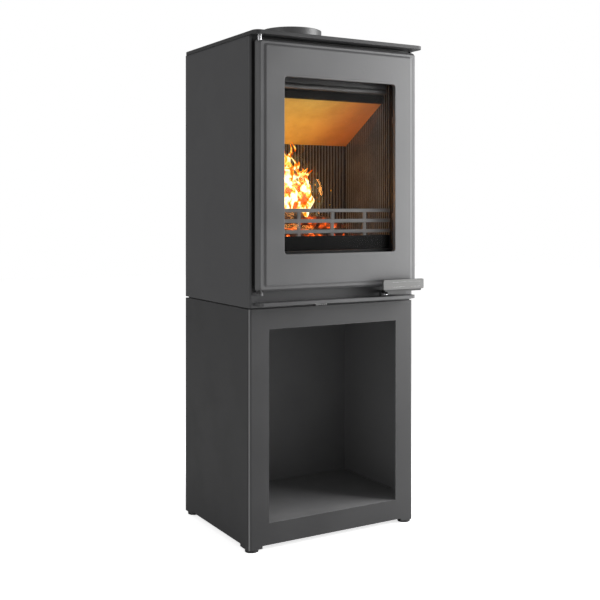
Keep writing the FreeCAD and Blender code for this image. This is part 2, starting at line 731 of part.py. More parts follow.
def door_frame():
    """Cast door: wall, chamfer, rim, raised centre panel, window and a rope channel on the back."""
    slab = rounded_slab(DOOR_HALF, DOOR_Z, (DOOR_WALL, DOOR_BACK), DOOR_CORNER)
    chamfer = rounded_taper((DOOR_HALF, DOOR_Z, DOOR_WALL, DOOR_CORNER), (*RIM, RIM_Y, 6))
    panel = rounded_taper((*PANEL_FOOT, RIM_Y, 5), (*PANEL_FACE, PANEL_Y, 3))
    body = slab.fuse([chamfer, panel])
    body = body.cut(rounded_slab(WINDOW_HALF, WINDOW_Z, (PANEL_Y - PAST, 0), WINDOW_CORNER))
    body = body.cut(rounded_slab(*REBATE, (PANEL_Y + JAMB_DEPTH, 0), WINDOW_CORNER + 3))
    body = body.fuse([ring(CHANNEL[0], CHANNEL[1], (DOOR_BACK, CHANNEL_BACK), 8),
                      ring(CHANNEL[2], CHANNEL[3], (DOOR_BACK, CHANNEL_BACK), 5)]).removeSplitter()
    seat = PIN_DEPTH + 0.3
    for z in ((DOOR_Z[0] - PAST, DOOR_Z[0] + seat), (DOOR_Z[1] - seat, DOOR_Z[1] + PAST)):
        body = body.cut(upright(HINGE_R + RUNNING, *HINGE, z))
    return body.cut(upright(PIVOT_R, *HANDLE_PIVOT, (DOOR_Z[0] - PAST, DOOR_Z[0] + PIN_DEPTH)))


GASKET_T = 1.5
GLASS_T = 4.0
GLASS = (WINDOW_HALF + 15.4, (WINDOW_Z[0] - 15.4, WINDOW_Z[1] + 15.4))
GLASS_Y = DOOR_BACK + GASKET_T


def door_glass():
    """Glass ceramic pane behind the window."""
    return rounded_slab(*GLASS, (GLASS_Y, GLASS_Y + GLASS_T), 3)


def glass_gasket():
    """Flat tape between the glass and the casting."""
    inner = (REBATE[0] + 1, (REBATE[1][0] - 1, REBATE[1][1] + 1))
    return ring((GLASS[0], GLASS[1]), inner, (DOOR_BACK, GLASS_Y), 3)


CLIP_X = 100.0
CLIP_SIDE_Z = (730.0, 960.0)
CLIP_T = 2.0
CLIP_HALF = 8.0
CLIP_HOLE = 2.6
CLIP_REACH = 8.0              # screws stand this far outside the glass


def clip_places():
    """Centre of each clip's screw and the direction from it to the glass."""
    places = []
    for x in (-CLIP_X, CLIP_X):
        places.append((x, GLASS[1][0] - CLIP_REACH, 0, 1))
        places.append((x, GLASS[1][1] + CLIP_REACH, 0, -1))
    for z in CLIP_SIDE_Z:
        places.append((-GLASS[0] - CLIP_REACH, z, 1, 0))
        places.append((GLASS[0] + CLIP_REACH, z, -1, 0))
    return places


def glass_clips():
    """Stepped clips: a foot on the casting and a finger over the glass."""
    clips = []
    top = GLASS_Y + GLASS_T
    for x, z, dx, dz in clip_places():
        def block(along, y, width):
            a, b = along
            if dx:
                return box(sorted((x + dx * a, x + dx * b)), y, (z - width, z + width))
            return box((x - width, x + width), y, sorted((z + dz * a, z + dz * b)))
        clip = block((-6, 6.5), (DOOR_BACK, top), CLIP_HALF).fuse(block((6, 14), (top, top + CLIP_T), CLIP_HALF))
        clip = clip.fuse(block((-6, 6.5), (top, top + CLIP_T), CLIP_HALF)).removeSplitter()
        clips.append(clip.cut(lengthwise(CLIP_HOLE, x, z, (DOOR_BACK - PAST, top + CLIP_T + PAST))))
    return clips


def clip_screws():
    """Socket screws through the clips."""
    screws = []
    top = GLASS_Y + GLASS_T + CLIP_T
    for x, z, _, _ in clip_places():
        head = lengthwise(4.2, x, z, (top, top + 2.2)).cut(lengthwise(1.5, x, z, (top + 0.9, top + 3)))
        screws.append(head.fuse(lengthwise(2.4, x, z, (DOOR_BACK, top))).removeSplitter())
    return screws


ROPE_GAP = 0.2


def rope_seal():
    """Rope in the channel, pressed up to the front frame."""
    (outer, outer_z), (inner, inner_z) = CHANNEL[1:3]
    return ring((outer - ROPE_GAP, (outer_z[0] + ROPE_GAP, outer_z[1] - ROPE_GAP)),
                (inner + ROPE_GAP, (inner_z[0] - ROPE_GAP, inner_z[1] + ROPE_GAP)),
                (DOOR_BACK, FRAME_Y - ROPE_GAP), 10)


# ---- handle ----
HUB_Z = (548.5, 565.9)
ARM_Z = (549.0, 558.5)
FINGER_R = (14.5, 18.0)
FINGER_Z = (549.0, 555.0)
HUB_R = 6.5
PIN_HEAD = (6.0, 3.0)         # radius, height
STRIP_T = 7.0


def pivot_pin():
    """Headed pin that hangs the lever under the door."""
    foot = HUB_Z[0] - 0.3
    shaft = upright(PIVOT_R, *HANDLE_PIVOT, (foot, DOOR_Z[0] + PIN_DEPTH))
    head = upright(PIN_HEAD[0], *HANDLE_PIVOT, (foot - PIN_HEAD[1], foot))
    return shaft.fuse(head).removeSplitter()


def latch_finger():
    """Curved finger that shares its centre with the pivot, on a short web."""
    x, y = HANDLE_PIVOT
    band = upright(FINGER_R[1], x, y, FINGER_Z).cut(upright(FINGER_R[0], x, y, FINGER_Z))
    wedge = outline([(x, y), (x - 0.30 * 40, y + 40), (x + 0.55 * 40, y + 40)], FINGER_Z)
    web = box((x, x + 6.5), (y, y + 16), FINGER_Z)
    return band.common(wedge).fuse(web)


def handle_lever():
    """Black lever: a hub on the pivot pin, an arm forward and an upright strip behind the grip plate."""
    x, y = HANDLE_PIVOT
    back = HANDLE_FRONT + HANDLE_T
    hub = upright(HUB_R, x, y, HUB_Z)
    arm = outline([(115, back), (168, back), (168, back + 8), (x + 8, y - 3), (x + 5, y + 3), (x - 5, y + 3),
                   (x - 8, y - 3), (115, back + 8)], ARM_Z)
    strip = box((108, 213), (back, back + STRIP_T), (554.7, 579.0))
    strip = strip.makeFillet(4.0, right_ends(strip, STRIP_T))
    body = hub.fuse([arm, strip, latch_finger()]).removeSplitter()
    return body.cut(upright(PIVOT_R + RUNNING, x, y, (HUB_Z[0] - PAST, HUB_Z[1] + PAST)))


def right_ends(plate, thickness):
    """The two edges through an upright plate at its right-hand end."""
    return [e for e in plate.Edges if abs(e.BoundBox.YLength - thickness) < TOUCH and e.BoundBox.XLength < TOUCH
            and e.CenterOfMass.x > HALF - 25]


def handle_plate():
    """Brushed grip plate, with rounded right-hand corners."""
    plate = box(HANDLE_X, (HANDLE_FRONT, HANDLE_FRONT + HANDLE_T), HANDLE_Z)
    plate = plate.makeFillet(3.0, right_ends(plate, HANDLE_T))
    return plate.makeChamfer(0.6, edges_at(plate, y=HANDLE_FRONT))


BUTTON_HEAD = (3.8, 2.0, 1.0, 1.4)   # radius, height, rounding, socket radius
BUTTON_X = (118.0, 198.0)
BUTTON_Z = 570.0


def handle_screws():
    """Button screws through the strip's back into the plate."""
    y = HANDLE_FRONT + HANDLE_T + STRIP_T
    radius, height, rounding, socket_r = BUTTON_HEAD
    screws = []
    for x in BUTTON_X:
        head = lengthwise(radius, x, BUTTON_Z, (y, y + height))
        head = head.makeFillet(rounding, edges_at(head, y=y + height))
        screws.append(head.cut(lengthwise(socket_r, x, BUTTON_Z, (y + height - 1.2, y + height + PAST))))
    return screws


def build():
    """Builds every node and writes it."""
    os.makedirs("parts", exist_ok=True)
    save("base_shell", base_shell())
    save("base_top", base_top())
    save("base_floor", base_floor())
    save("base_back", base_back())
    save("foot_brackets", foot_brackets())
    for name, (x, y) in foot_places().items():
        save(f"foot_{name}", foot(x, y))

    save("casing_shell", casing_shell())
    save("casing_floor", casing_floor())
    save("rear_panel", rear_panel())
    save("rear_screws", rear_screws())
    save("top_plate", top_plate())
    save("flue_collar", flue_collar())
    save("collar_bolts", collar_bolts())
    save("ash_lip", ash_lip())
    save("air_spigot", air_spigot())

    save("front_frame", front_frame())
    save("firebox_shell", firebox_shell())
    save("lining_left", side_lining(-1))
    save("lining_right", side_lining(1))
    save("lining_rear", rear_lining())
    save("baffle", baffle())
    save("baffle_rail", baffle_rail())
    save("smoke_deflector", smoke_deflector())
    save("air_wash_bar", air_wash_bar())
    save("hearth", hearth())
    save("grate", grate())
    save("retainer", retainer())
    save("log_fence", log_fence())
    save("air_box", air_box())
    save("ash_pan", ash_pan())
    save("pan_rails", pan_rails())
    save("air_slider", air_slider())

    save("hinge_pin_upper", hinge_pin_upper())
    save("hinge_pin_lower", hinge_pin_lower())
    save("hinge_lug", hinge_lug())
    save("hinge_washer", hinge_washer())
    save("keeper_pin", keeper_pin())

    save("door_frame", door_frame())
    save("door_glass", door_glass())
    save("glass_gasket", glass_gasket())
    save("glass_clips", glass_clips())
    save("clip_screws", clip_screws())
    save("rope_seal", rope_seal())
    save("pivot_pin", pivot_pin())

    save("handle_lever", handle_lever())
    save("handle_plate", handle_plate())
    save("handle_screws", handle_screws())


build()
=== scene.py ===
"""Looks of a wood burning stove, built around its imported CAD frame.

The stove is made of sub-assemblies: the log store, the casing, the flue, the door with its handle, the firebox
with its fire, and the air controls. Each one is a class that dresses the frame's parts and adds shaped pieces.
All lengths are metres in the frame's own axes: X to the right, -Y out of the door, Z up from the floor.
"""

from __future__ import annotations

import logging
import math
from dataclasses import dataclass
from enum import Enum
from typing import Callable, Sequence

import bpy
import numpy as np
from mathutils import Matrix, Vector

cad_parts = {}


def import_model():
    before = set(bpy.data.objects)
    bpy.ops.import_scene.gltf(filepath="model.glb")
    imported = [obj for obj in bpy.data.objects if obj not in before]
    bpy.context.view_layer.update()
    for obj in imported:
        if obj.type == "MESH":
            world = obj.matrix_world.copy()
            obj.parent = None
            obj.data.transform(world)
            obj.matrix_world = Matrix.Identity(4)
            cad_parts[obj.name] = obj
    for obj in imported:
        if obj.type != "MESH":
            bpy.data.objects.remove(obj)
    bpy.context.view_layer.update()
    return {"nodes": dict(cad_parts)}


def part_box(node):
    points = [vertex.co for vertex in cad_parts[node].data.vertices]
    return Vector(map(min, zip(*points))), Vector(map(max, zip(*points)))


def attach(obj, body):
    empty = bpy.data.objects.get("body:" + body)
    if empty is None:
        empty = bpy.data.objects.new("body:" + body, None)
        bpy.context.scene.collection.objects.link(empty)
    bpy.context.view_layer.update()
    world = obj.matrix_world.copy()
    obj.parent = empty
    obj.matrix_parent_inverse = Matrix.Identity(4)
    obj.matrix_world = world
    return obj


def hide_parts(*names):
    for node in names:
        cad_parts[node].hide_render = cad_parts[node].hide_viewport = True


LOG = logging.getLogger("stove")
MM = 0.001
LONGEST_SHARE = 0.42
FLAT_MARGIN = 1.15
Colour = tuple[float, float, float]


# ---------------------------------------------------------------- meshes
def add_object(name: str, data: bpy.types.ID, at: Sequence[float] = (0, 0, 0),
               turn: Sequence[float] = (0, 0, 0)) -> bpy.types.Object:
    """Puts a mesh, lamp or camera into the scene.

    Args:
        name: name of the object.
        data: what it holds.
        at: its place.
        turn: its Euler angles.

    Returns:
        The new object.
    """
    made = bpy.data.objects.new(name, data)
    made.location, made.rotation_euler = at, turn
    bpy.context.scene.collection.objects.link(made)
    return made


class Surface:
    """A mesh gathered from grids, lids and fans, then turned into one Blender object."""

    def __init__(self) -> None:
        """Starts with no vertices and no faces."""
        self.points: list[np.ndarray] = []
        self.faces: list[list[int]] = []
        self.count = 0

    def grid(self, p: np.ndarray, wrap_u: bool = False, wrap_v: bool = False) -> np.ndarray:
        """Adds a grid of quads.

        Args:
            p: points, shaped (rows, columns, 3).
            wrap_u: joins the last row to the first.
            wrap_v: joins the last column to the first.

        Returns:
            The vertex numbers, shaped (rows, columns).
        """
        rows, columns = p.shape[:2]
        index = self.count + np.arange(rows * columns).reshape(rows, columns)
        self.points.append(p.reshape(-1, 3))
        self.count += rows * columns
        a = np.concatenate([index, index[:1]]) if wrap_u else index
        a = np.concatenate([a, a[:, :1]], axis=1) if wrap_v else a
        quads = np.stack([a[:-1, :-1], a[1:, :-1], a[1:, 1:], a[:-1, 1:]], axis=-1).reshape(-1, 4)
        self.faces += quads.tolist()
        return index

    def solid(self, p: np.ndarray, flip: bool = True) -> None:
        """Adds a grid that is joined round its columns, and closes its first and last rows.

        Args:
            p: points, shaped (rows, columns, 3).
            flip: turns the first lid over, or else the last.
        """
        index = self.grid(p, wrap_v=True)
        self.lid(index[0], flip=flip)
        self.lid(index[-1], flip=not flip)

    def lid(self, ring: np.ndarray, flip: bool = False) -> None:
        """Closes a flat ring of vertices with one face.

        Args:
            ring: vertex numbers in order.
            flip: turns the face over.
        """
        self.faces.append((ring[::-1] if flip else ring).tolist())

    def volume(self) -> float:
        """Signed volume of the gathered faces, positive when they look outward."""
        p = np.concatenate(self.points)
        total = 0.0
        for size in {len(f) for f in self.faces}:
            corners = p[np.array([f for f in self.faces if len(f) == size])]
            for k in range(1, size - 1):
                total += np.einsum("ij,ij->", corners[:, 0], np.cross(corners[:, k], corners[:, k + 1]))
        return total / 6

    def build(self, name: str, body: str, finish: bpy.types.Material, slot: str = "",
              replaces: Sequence[str] = (), sharp: float = 40.0) -> bpy.types.Object:
        """Makes the object, smooth but for its sharp edges, facing outward, and ties it to a body.

        Args:
            name: name of the piece.
            body: CAD body that it moves with.
            finish: its material.
            slot: not used.
            replaces: CAD nodes that it stands for.
            sharp: edges that turn by more than this many degrees stay sharp.

        Returns:
            The new object.
        """
        if self.volume() < 0:
            self.faces = [f[::-1] for f in self.faces]
        mesh = bpy.data.meshes.new(name)
        mesh.from_pydata(np.concatenate(self.points).tolist(), [], self.faces)
        mesh.validate()
        mesh.polygons.foreach_set("use_smooth", np.ones(len(mesh.polygons), bool))
        mesh.set_sharp_from_angle(angle=math.radians(sharp))
        mesh.materials.append(finish)
        piece = add_object(name, mesh)
        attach(piece, body)
        if replaces:
            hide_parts(*replaces)
        LOG.info("piece %s rides on %s, %d faces", name, body, len(mesh.polygons))
        return piece


def soften(profile: np.ndarray, radius: np.ndarray | float, steps: int = 5, closed: bool = True,
           metric: Sequence[int] = (0, 1)) -> np.ndarray:
    """Rounds the corners of a polyline in any number of coordinates.

    Each corner P becomes the parabola (1-t)^2 A + 2t(1-t) P + t^2 B, where A and B lie on its two sides at the
    given distance, with one more point a little further out on each side, which keeps the flats flat.

    Args:
        profile: corners, shaped (corners, coordinates).
        radius: distance from the corner to A and B, for all corners or one each.
        steps: points on each parabola.
        closed: whether the last corner joins the first.
        metric: the two coordinates that distance is measured in.

    Returns:
        The rounded polyline, shaped (points, coordinates).
    """
    soft = np.broadcast_to(np.asarray(radius, float), (len(profile),))[:, None]

    def along(side: np.ndarray, share: float) -> np.ndarray:
        """Points on the sides, at a share of the distance but never past the middle."""
        length = np.maximum(np.linalg.norm(side[:, list(metric)], axis=1, keepdims=True), 1e-9)
        return profile + side * np.minimum(soft * share / length, LONGEST_SHARE * share)

    to_prev, to_next = np.roll(profile, 1, 0) - profile, np.roll(profile, -1, 0) - profile
    a, b = along(to_prev, 1.0), along(to_next, 1.0)
    t = np.linspace(0, 1, steps)[None, :, None]
    curve = (1 - t) ** 2 * a[:, None] + 2 * t * (1 - t) * profile[:, None] + t ** 2 * b[:, None]
    curve = np.concatenate([along(to_prev, FLAT_MARGIN)[:, None], curve, along(to_next, FLAT_MARGIN)[:, None]], axis=1)
    if closed:
        return curve.reshape(-1, profile.shape[1])
    return np.concatenate([profile[:1], curve[1:-1].reshape(-1, profile.shape[1]), profile[-1:]])


def outlines(stations: np.ndarray, axis: int, per_corner: int = 8) -> np.ndarray:
    """Stack of rounded rectangles: at each station four quarter circles, joined by the straight sides.

    Args:
        stations: rows of (low, high) along the first axis, (low, high) along the second, depth, corner radius.
        axis: the axis that depth runs along: 0 has outlines in Y and Z, 1 in X and Z, 2 in X and Y.
        per_corner: steps on each quarter circle.

    Returns:
        Grid of points, shaped (stations, 4 * (per_corner + 1), 3).
    """
    low_a, high_a, low_b, high_b, depth, radius = (column[:, None] for column in stations.T)
    quarter = np.linspace(0, math.pi / 2, per_corner + 1)
    angle = (quarter[None] + (math.pi / 2 * np.arange(4))[:, None]).ravel()
    right = np.repeat([1.0, 0.0, 0.0, 1.0], per_corner + 1)
    upper = np.repeat([1.0, 1.0, 0.0, 0.0], per_corner + 1)
    radius = np.maximum(radius, 1e-5)
    first, second = [k for k in range(3) if k != axis]
    p = np.zeros((len(stations), len(angle), 3))
    p[..., first] = np.where(right > 0, high_a - radius, low_a + radius) + radius * np.cos(angle)
    p[..., second] = np.where(upper > 0, high_b - radius, low_b + radius) + radius * np.sin(angle)
    p[..., axis] = depth
    return p


def lathe(profile: np.ndarray, centre: np.ndarray, sides: int, axis: int = 2, squash: float = 1.0) -> np.ndarray:
    """Turns a profile of (radius, distance along the axis) about an axis: radius times the angle's cosine and sine.

    Args:
        profile: rows of (radius, distance), shaped (points, 2).
        centre: a point on the axis, or one for each row.
        sides: steps round the axis.
        axis: the axis that it turns about.
        squash: scale of the second of the other two axes.

    Returns:
        Grid of points, shaped (points, sides, 3).
    """
    angle = np.linspace(0, 2 * math.pi, sides, endpoint=False)
    middle = np.broadcast_to(centre, (len(profile), 3))
    first, second = [k for k in range(3) if k != axis]
    p = np.zeros((len(profile), sides, 3))
    p[..., first] = middle[:, first, None] + profile[:, :1] * np.cos(angle)
    p[..., second] = middle[:, second, None] + squash * profile[:, :1] * np.sin(angle)
    p[..., axis] = middle[:, axis, None] + profile[:, 1:]
    return p


def value_noise(p: np.ndarray, scale: float, seed: int) -> np.ndarray:
    """Smooth noise from -1 to 1: a seeded random lattice, blended with the curve 3t^2 - 2t^3 along each axis.

    Args:
        p: points, shaped (..., 3).
        scale: lattice cells per metre.
        seed: picks the lattice.

    Returns:
        Noise at each point.
    """
    side = 32
    lattice = np.random.default_rng(seed).uniform(-1, 1, (side, side, side))
    q = p * scale + 1000.0
    cell = np.floor(q).astype(int)
    t = q - cell
    t = t * t * (3 - 2 * t)
    total = np.zeros(p.shape[:-1])
    for dx, dy, dz in np.ndindex(2, 2, 2):
        corner = lattice[(cell[..., 0] + dx) % side, (cell[..., 1] + dy) % side, (cell[..., 2] + dz) % side]
        weight = np.abs(1 - dx - t[..., 0]) * np.abs(1 - dy - t[..., 1]) * np.abs(1 - dz - t[..., 2])
        total += corner * weight
    return total


def rough_noise(p: np.ndarray, scale: float, seed: int, octaves: int = 4) -> np.ndarray:
    """Sum of value noises, each twice as fine and half as strong as the one before."""
    return sum(value_noise(p, scale * 2 ** k, seed + k) / 2 ** k for k in range(octaves))


def tube(path: np.ndarray, radius: np.ndarray, sides: int) -> np.ndarray:
    """Round section carried along a path, turned with it but kept upright.

    Args:
        path: points, shaped (steps, 3).
        radius: section radius, one per step, or shaped (steps, sides).
        sides: steps round the section.

    Returns:
        Grid of points, shaped (steps, sides, 3).
    """
    forward = np.gradient(path, axis=0)
    forward /= np.maximum(np.linalg.norm(forward, axis=1, keepdims=True), 1e-9)
    helper = np.where(np.abs(forward[:, 2:]) > 0.9, [[0.0, 1.0, 0.0]], [[0.0, 0.0, 1.0]])
    side = np.cross(helper, forward)
    side /= np.maximum(np.linalg.norm(side, axis=1, keepdims=True), 1e-9)
    up = np.cross(forward, side)
    angle = np.linspace(0, 2 * math.pi, sides, endpoint=False)
    r = radius if radius.ndim == 2 else radius[:, None]
    return (path[:, None] + side[:, None] * (r * np.cos(angle))[..., None]
            + up[:, None] * (r * np.sin(angle))[..., None])


# ---------------------------------------------------------------- shader groups
Socket = bpy.types.NodeSocket


class Wiring:
    """Short calls for adding and linking nodes in one tree."""

    def __init__(self, tree: bpy.types.NodeTree) -> None:
        """Keeps the tree."""
        self.tree = tree

    def add(self, kind: str, settings: dict[str, object] | None = None, **inputs: object) -> bpy.types.Node:
        """Adds a node.

        Args:
            kind: its type name.
            settings: attributes to set on it.
            **inputs: input sockets by name, with _ for a space, each a value or a socket to link.

        Returns:
            The node.
        """
        node = self.tree.nodes.new(kind)
        for key, value in (settings or {}).items():
            setattr(node, key, value)
        for key, value in inputs.items():
            self.put(node.inputs[int(key[1:]) if key[0] == "i" and key[1:].isdigit() else key.replace("_", " ")],
                     value)
        return node

    def put(self, socket: Socket, value: object) -> None:
        """Links a socket to an input, or sets the input's value."""
        if isinstance(value, bpy.types.NodeSocket):
            self.tree.links.new(value, socket)
        elif value is not None:
            if socket.type == "RGBA" and len(value) == 3:
                value = (*value, 1.0)
            socket.default_value = value

    def math(self, operation: str, a: object, b: object = 0.0, clamp: bool = False) -> Socket:
        """Result of a Math node."""
        return self.add("ShaderNodeMath", {"operation": operation, "use_clamp": clamp}, i0=a, i1=b).outputs[0]

    def span(self, value: object, low: float, high: float, out_low: float = 0.0, out_high: float = 1.0) -> Socket:
        """Clamped, smooth Map Range from (low, high) to (out_low, out_high)."""
        node = self.add("ShaderNodeMapRange", {"interpolation_type": "SMOOTHSTEP"}, Value=value,
                        From_Min=low, From_Max=high, To_Min=out_low, To_Max=out_high)
        return node.outputs["Result"]

    def mix(self, share: object, a: object, b: object) -> Socket:
        """Colour mix of a and b."""
        node = self.add("ShaderNodeMix", {"data_type": "RGBA"})
        self.put(node.inputs[0], share)
        self.put(node.inputs[6], a)
        self.put(node.inputs[7], b)
        return node.outputs[2]

    def coords(self) -> Socket:
        """Object coordinates."""
        return self.add("ShaderNodeTexCoord").outputs["Object"]

    def axes(self) -> bpy.types.bpy_prop_collection:
        """Object coordinates as three sockets, X, Y and Z."""
        return self.add("ShaderNodeSeparateXYZ", Vector=self.coords()).outputs

    def noise(self, scale: object, detail: float, rough: float = 0.5, at: Socket | None = None,
              distortion: float = 0.0) -> Socket:
        """Noise on Object coordinates, or on others.

        Args:
            scale: cells per metre.
            detail: number of octaves.
            rough: strength of each octave beside the one before.
            at: coordinates to use in place of the object's own.
            distortion: how far the noise is bent by itself.

        Returns:
            The noise, from 0 to 1.
        """
        return self.add("ShaderNodeTexNoise", Vector=self.coords() if at is None else at, Scale=scale, Detail=detail,
                        Roughness=rough, Distortion=distortion).outputs["Fac"]

    def ramp(self, share: Socket, *stops: tuple[float, Colour]) -> Socket:
        """Colour ramp.

        Args:
            share: where on the ramp to read.
            *stops: place and colour of each stop, the first at 0 and the last at 1.

        Returns:
            The colour.
        """
        node = self.add("ShaderNodeValToRGB", Fac=share)
        elements = node.color_ramp.elements
        for element, (place, colour) in zip((elements[0], elements[1]), (stops[0], stops[-1])):
            element.position, element.color = place, (*colour, 1.0)
        for place, colour in stops[1:-1]:
            elements.new(place).color = (*colour, 1.0)
        return node.outputs[0]


class GroupName(Enum):
    """The shared effects."""

    WEAR = "edge_wear"
    GRAIN = "paint_grain"
    DUST = "settled_dust"
    SOOT = "soot"
    BRUSH = "brushed_lines"
    WEAVE = "fibre_weave"


class Effects:
    """Shader node groups, each built once and placed in each material with its own values."""

    def __init__(self) -> None:
        """Builds every group."""
        self.groups: dict[GroupName, bpy.types.NodeTree] = {}
        self._make(GroupName.WEAR, {"Radius": 0.0015, "Scale": 60.0, "Amount": 1.0}, ["Mask"], self._wear)
        self._make(GroupName.GRAIN, {"Scale": 900.0, "Blotch": 6.0}, ["Height", "Tint"], self._grain)
        self._make(GroupName.DUST, {"Scale": 40.0, "Amount": 1.0}, ["Mask"], self._dust)
        self._make(GroupName.SOOT, {"Scale": 14.0, "Amount": 1.0}, ["Mask"], self._soot)
        self._make(GroupName.BRUSH, {"Scale": 260.0}, ["Height", "Tint"], self._brush)
        self._make(GroupName.WEAVE, {"Scale": 420.0}, ["Height", "Tint"], self._weave)

    def _make(self, name: GroupName, inputs: dict[str, float], outputs: list[str],
              fill: Callable[[Wiring, bpy.types.Node, bpy.types.Node], None]) -> None:
        """Makes one group's sockets and fills it.

        Args:
            name: which effect.
            inputs: float inputs with their defaults.
            outputs: float outputs.
            fill: builds the inside.
        """
        tree = bpy.data.node_groups.new(name.value, "ShaderNodeTree")
        for label, value in inputs.items():
            tree.interface.new_socket(label, in_out="INPUT", socket_type="NodeSocketFloat").default_value = value
        for label in outputs:
            tree.interface.new_socket(label, in_out="OUTPUT", socket_type="NodeSocketFloat")
        wiring = Wiring(tree)
        fill(wiring, wiring.add("NodeGroupInput"), wiring.add("NodeGroupOutput"))
        self.groups[name] = tree

    def place(self, wiring: Wiring, name: GroupName, **inputs: float) -> bpy.types.Node:
        """Places a group in a material with its own values."""
        node = wiring.add("ShaderNodeGroup", {"node_tree": self.groups[name]})
        for key, value in inputs.items():
            wiring.put(node.inputs[key], value)
        return node

    @staticmethod
    def _wear(w: Wiring, given: bpy.types.Node, out: bpy.types.Node) -> None:
        """Mask that is 1 on rubbed edges: where a rounded normal leaves the true one, broken up by noise."""
        bevel = w.add("ShaderNodeBevel", {"samples": 4}, Radius=given.outputs["Radius"]).outputs[0]
        normal = w.add("ShaderNodeNewGeometry").outputs["Normal"]
        dot = w.add("ShaderNodeVectorMath", {"operation": "DOT_PRODUCT"}, i0=bevel, i1=normal).outputs["Value"]
        edge = w.span(w.math("SUBTRACT", 1.0, dot), 0.02, 0.25)
        broken = w.noise(given.outputs["Scale"], 4.0)
        worn = w.math("MULTIPLY", edge, w.span(broken, 0.42, 0.62))
        w.put(out.inputs["Mask"], w.math("MULTIPLY", worn, given.outputs["Amount"], clamp=True))

    @staticmethod
    def _grain(w: Wiring, given: bpy.types.Node, out: bpy.types.Node) -> None:
        """Height of sprayed matt paint: fine pimples on a soft orange peel; Tint drifts slowly."""
        fine = w.noise(given.outputs["Scale"], 2.0)
        peel = w.noise(w.math("MULTIPLY", given.outputs["Scale"], 0.22), 1.0)
        blotch = w.noise(given.outputs["Blotch"], 3.0)
        w.put(out.inputs["Height"], w.math("ADD", w.math("MULTIPLY", fine, 0.6), w.math("MULTIPLY", peel, 0.5)))
        w.put(out.inputs["Tint"], w.span(blotch, 0.3, 0.7))

    @staticmethod
    def _dust(w: Wiring, given: bpy.types.Node, out: bpy.types.Node) -> None:
        """Mask of dust on faces that look up, in drifts."""
        normal = w.add("ShaderNodeNewGeometry").outputs["Normal"]
        up = w.add("ShaderNodeSeparateXYZ", Vector=normal).outputs["Z"]
        drift = w.noise(given.outputs["Scale"], 5.0)
        mask = w.math("MULTIPLY", w.span(up, 0.6, 1.0), w.span(drift, 0.45, 0.75))
        w.put(out.inputs["Mask"], w.math("MULTIPLY", mask, given.outputs["Amount"], clamp=True))

    @staticmethod
    def _soot(w: Wiring, given: bpy.types.Node, out: bpy.types.Node) -> None:
        """Cloudy mask of soot."""
        cloud = w.noise(given.outputs["Scale"], 6.0, rough=0.65)
        w.put(out.inputs["Mask"], w.math("MULTIPLY", w.span(cloud, 0.38, 0.66), given.outputs["Amount"]))

    @staticmethod
    def _brush(w: Wiring, given: bpy.types.Node, out: bpy.types.Node) -> None:
        """Fine lines along X: noise that is over a hundred times as long in X as in Z."""
        mapped = w.add("ShaderNodeMapping", Vector=w.coords(), Scale=(0.03, 1.0, 4.0)).outputs[0]
        lines = w.noise(given.outputs["Scale"], 5.0, rough=0.7, at=mapped)
        w.put(out.inputs["Height"], lines)
        w.put(out.inputs["Tint"], w.span(lines, 0.35, 0.65))

    @staticmethod
    def _weave(w: Wiring, given: bpy.types.Node, out: bpy.types.Node) -> None:
        """Crossed yarns: the product of two slanting waves."""
        waves = []
        for turn in (0.8, -0.8):
            turned = w.add("ShaderNodeMapping", Vector=w.coords(), Rotation=(0.0, turn, 0.0)).outputs[0]
            waves.append(w.add("ShaderNodeTexWave", Vector=turned, Scale=given.outputs["Scale"],
                               Distortion=1.5).outputs["Fac"])
        height = w.math("MULTIPLY", waves[0], waves[1])
        w.put(out.inputs["Height"], height)
        w.put(out.inputs["Tint"], height)


# ---------------------------------------------------------------- finishes
WHITE: Colour = (1.0, 1.0, 1.0)
BLACK: Colour = (0.0, 0.0, 0.0)
DUST_COLOUR: Colour = (0.42, 0.40, 0.37)
ASH_COLOUR: Colour = (0.38, 0.36, 0.34)
FRESH_ASH: Colour = (0.30, 0.28, 0.26)
SOOT_COLOUR: Colour = (0.02, 0.02, 0.02)
BRIGHT_EDGE: Colour = (0.85, 0.85, 0.85)
EMBER_STOPS = ((0.0, BLACK), (0.45, (0.85, 0.10, 0.005)), (1.0, (1.0, 0.62, 0.16)))
FLAME_STOPS = ((0.0, (0.50, 0.02, 0.0)), (0.25, (0.80, 0.10, 0.0)), (0.45, (1.0, 0.33, 0.01)),
               (0.68, (1.0, 0.66, 0.10)), (1.0, (1.0, 0.95, 0.70)))


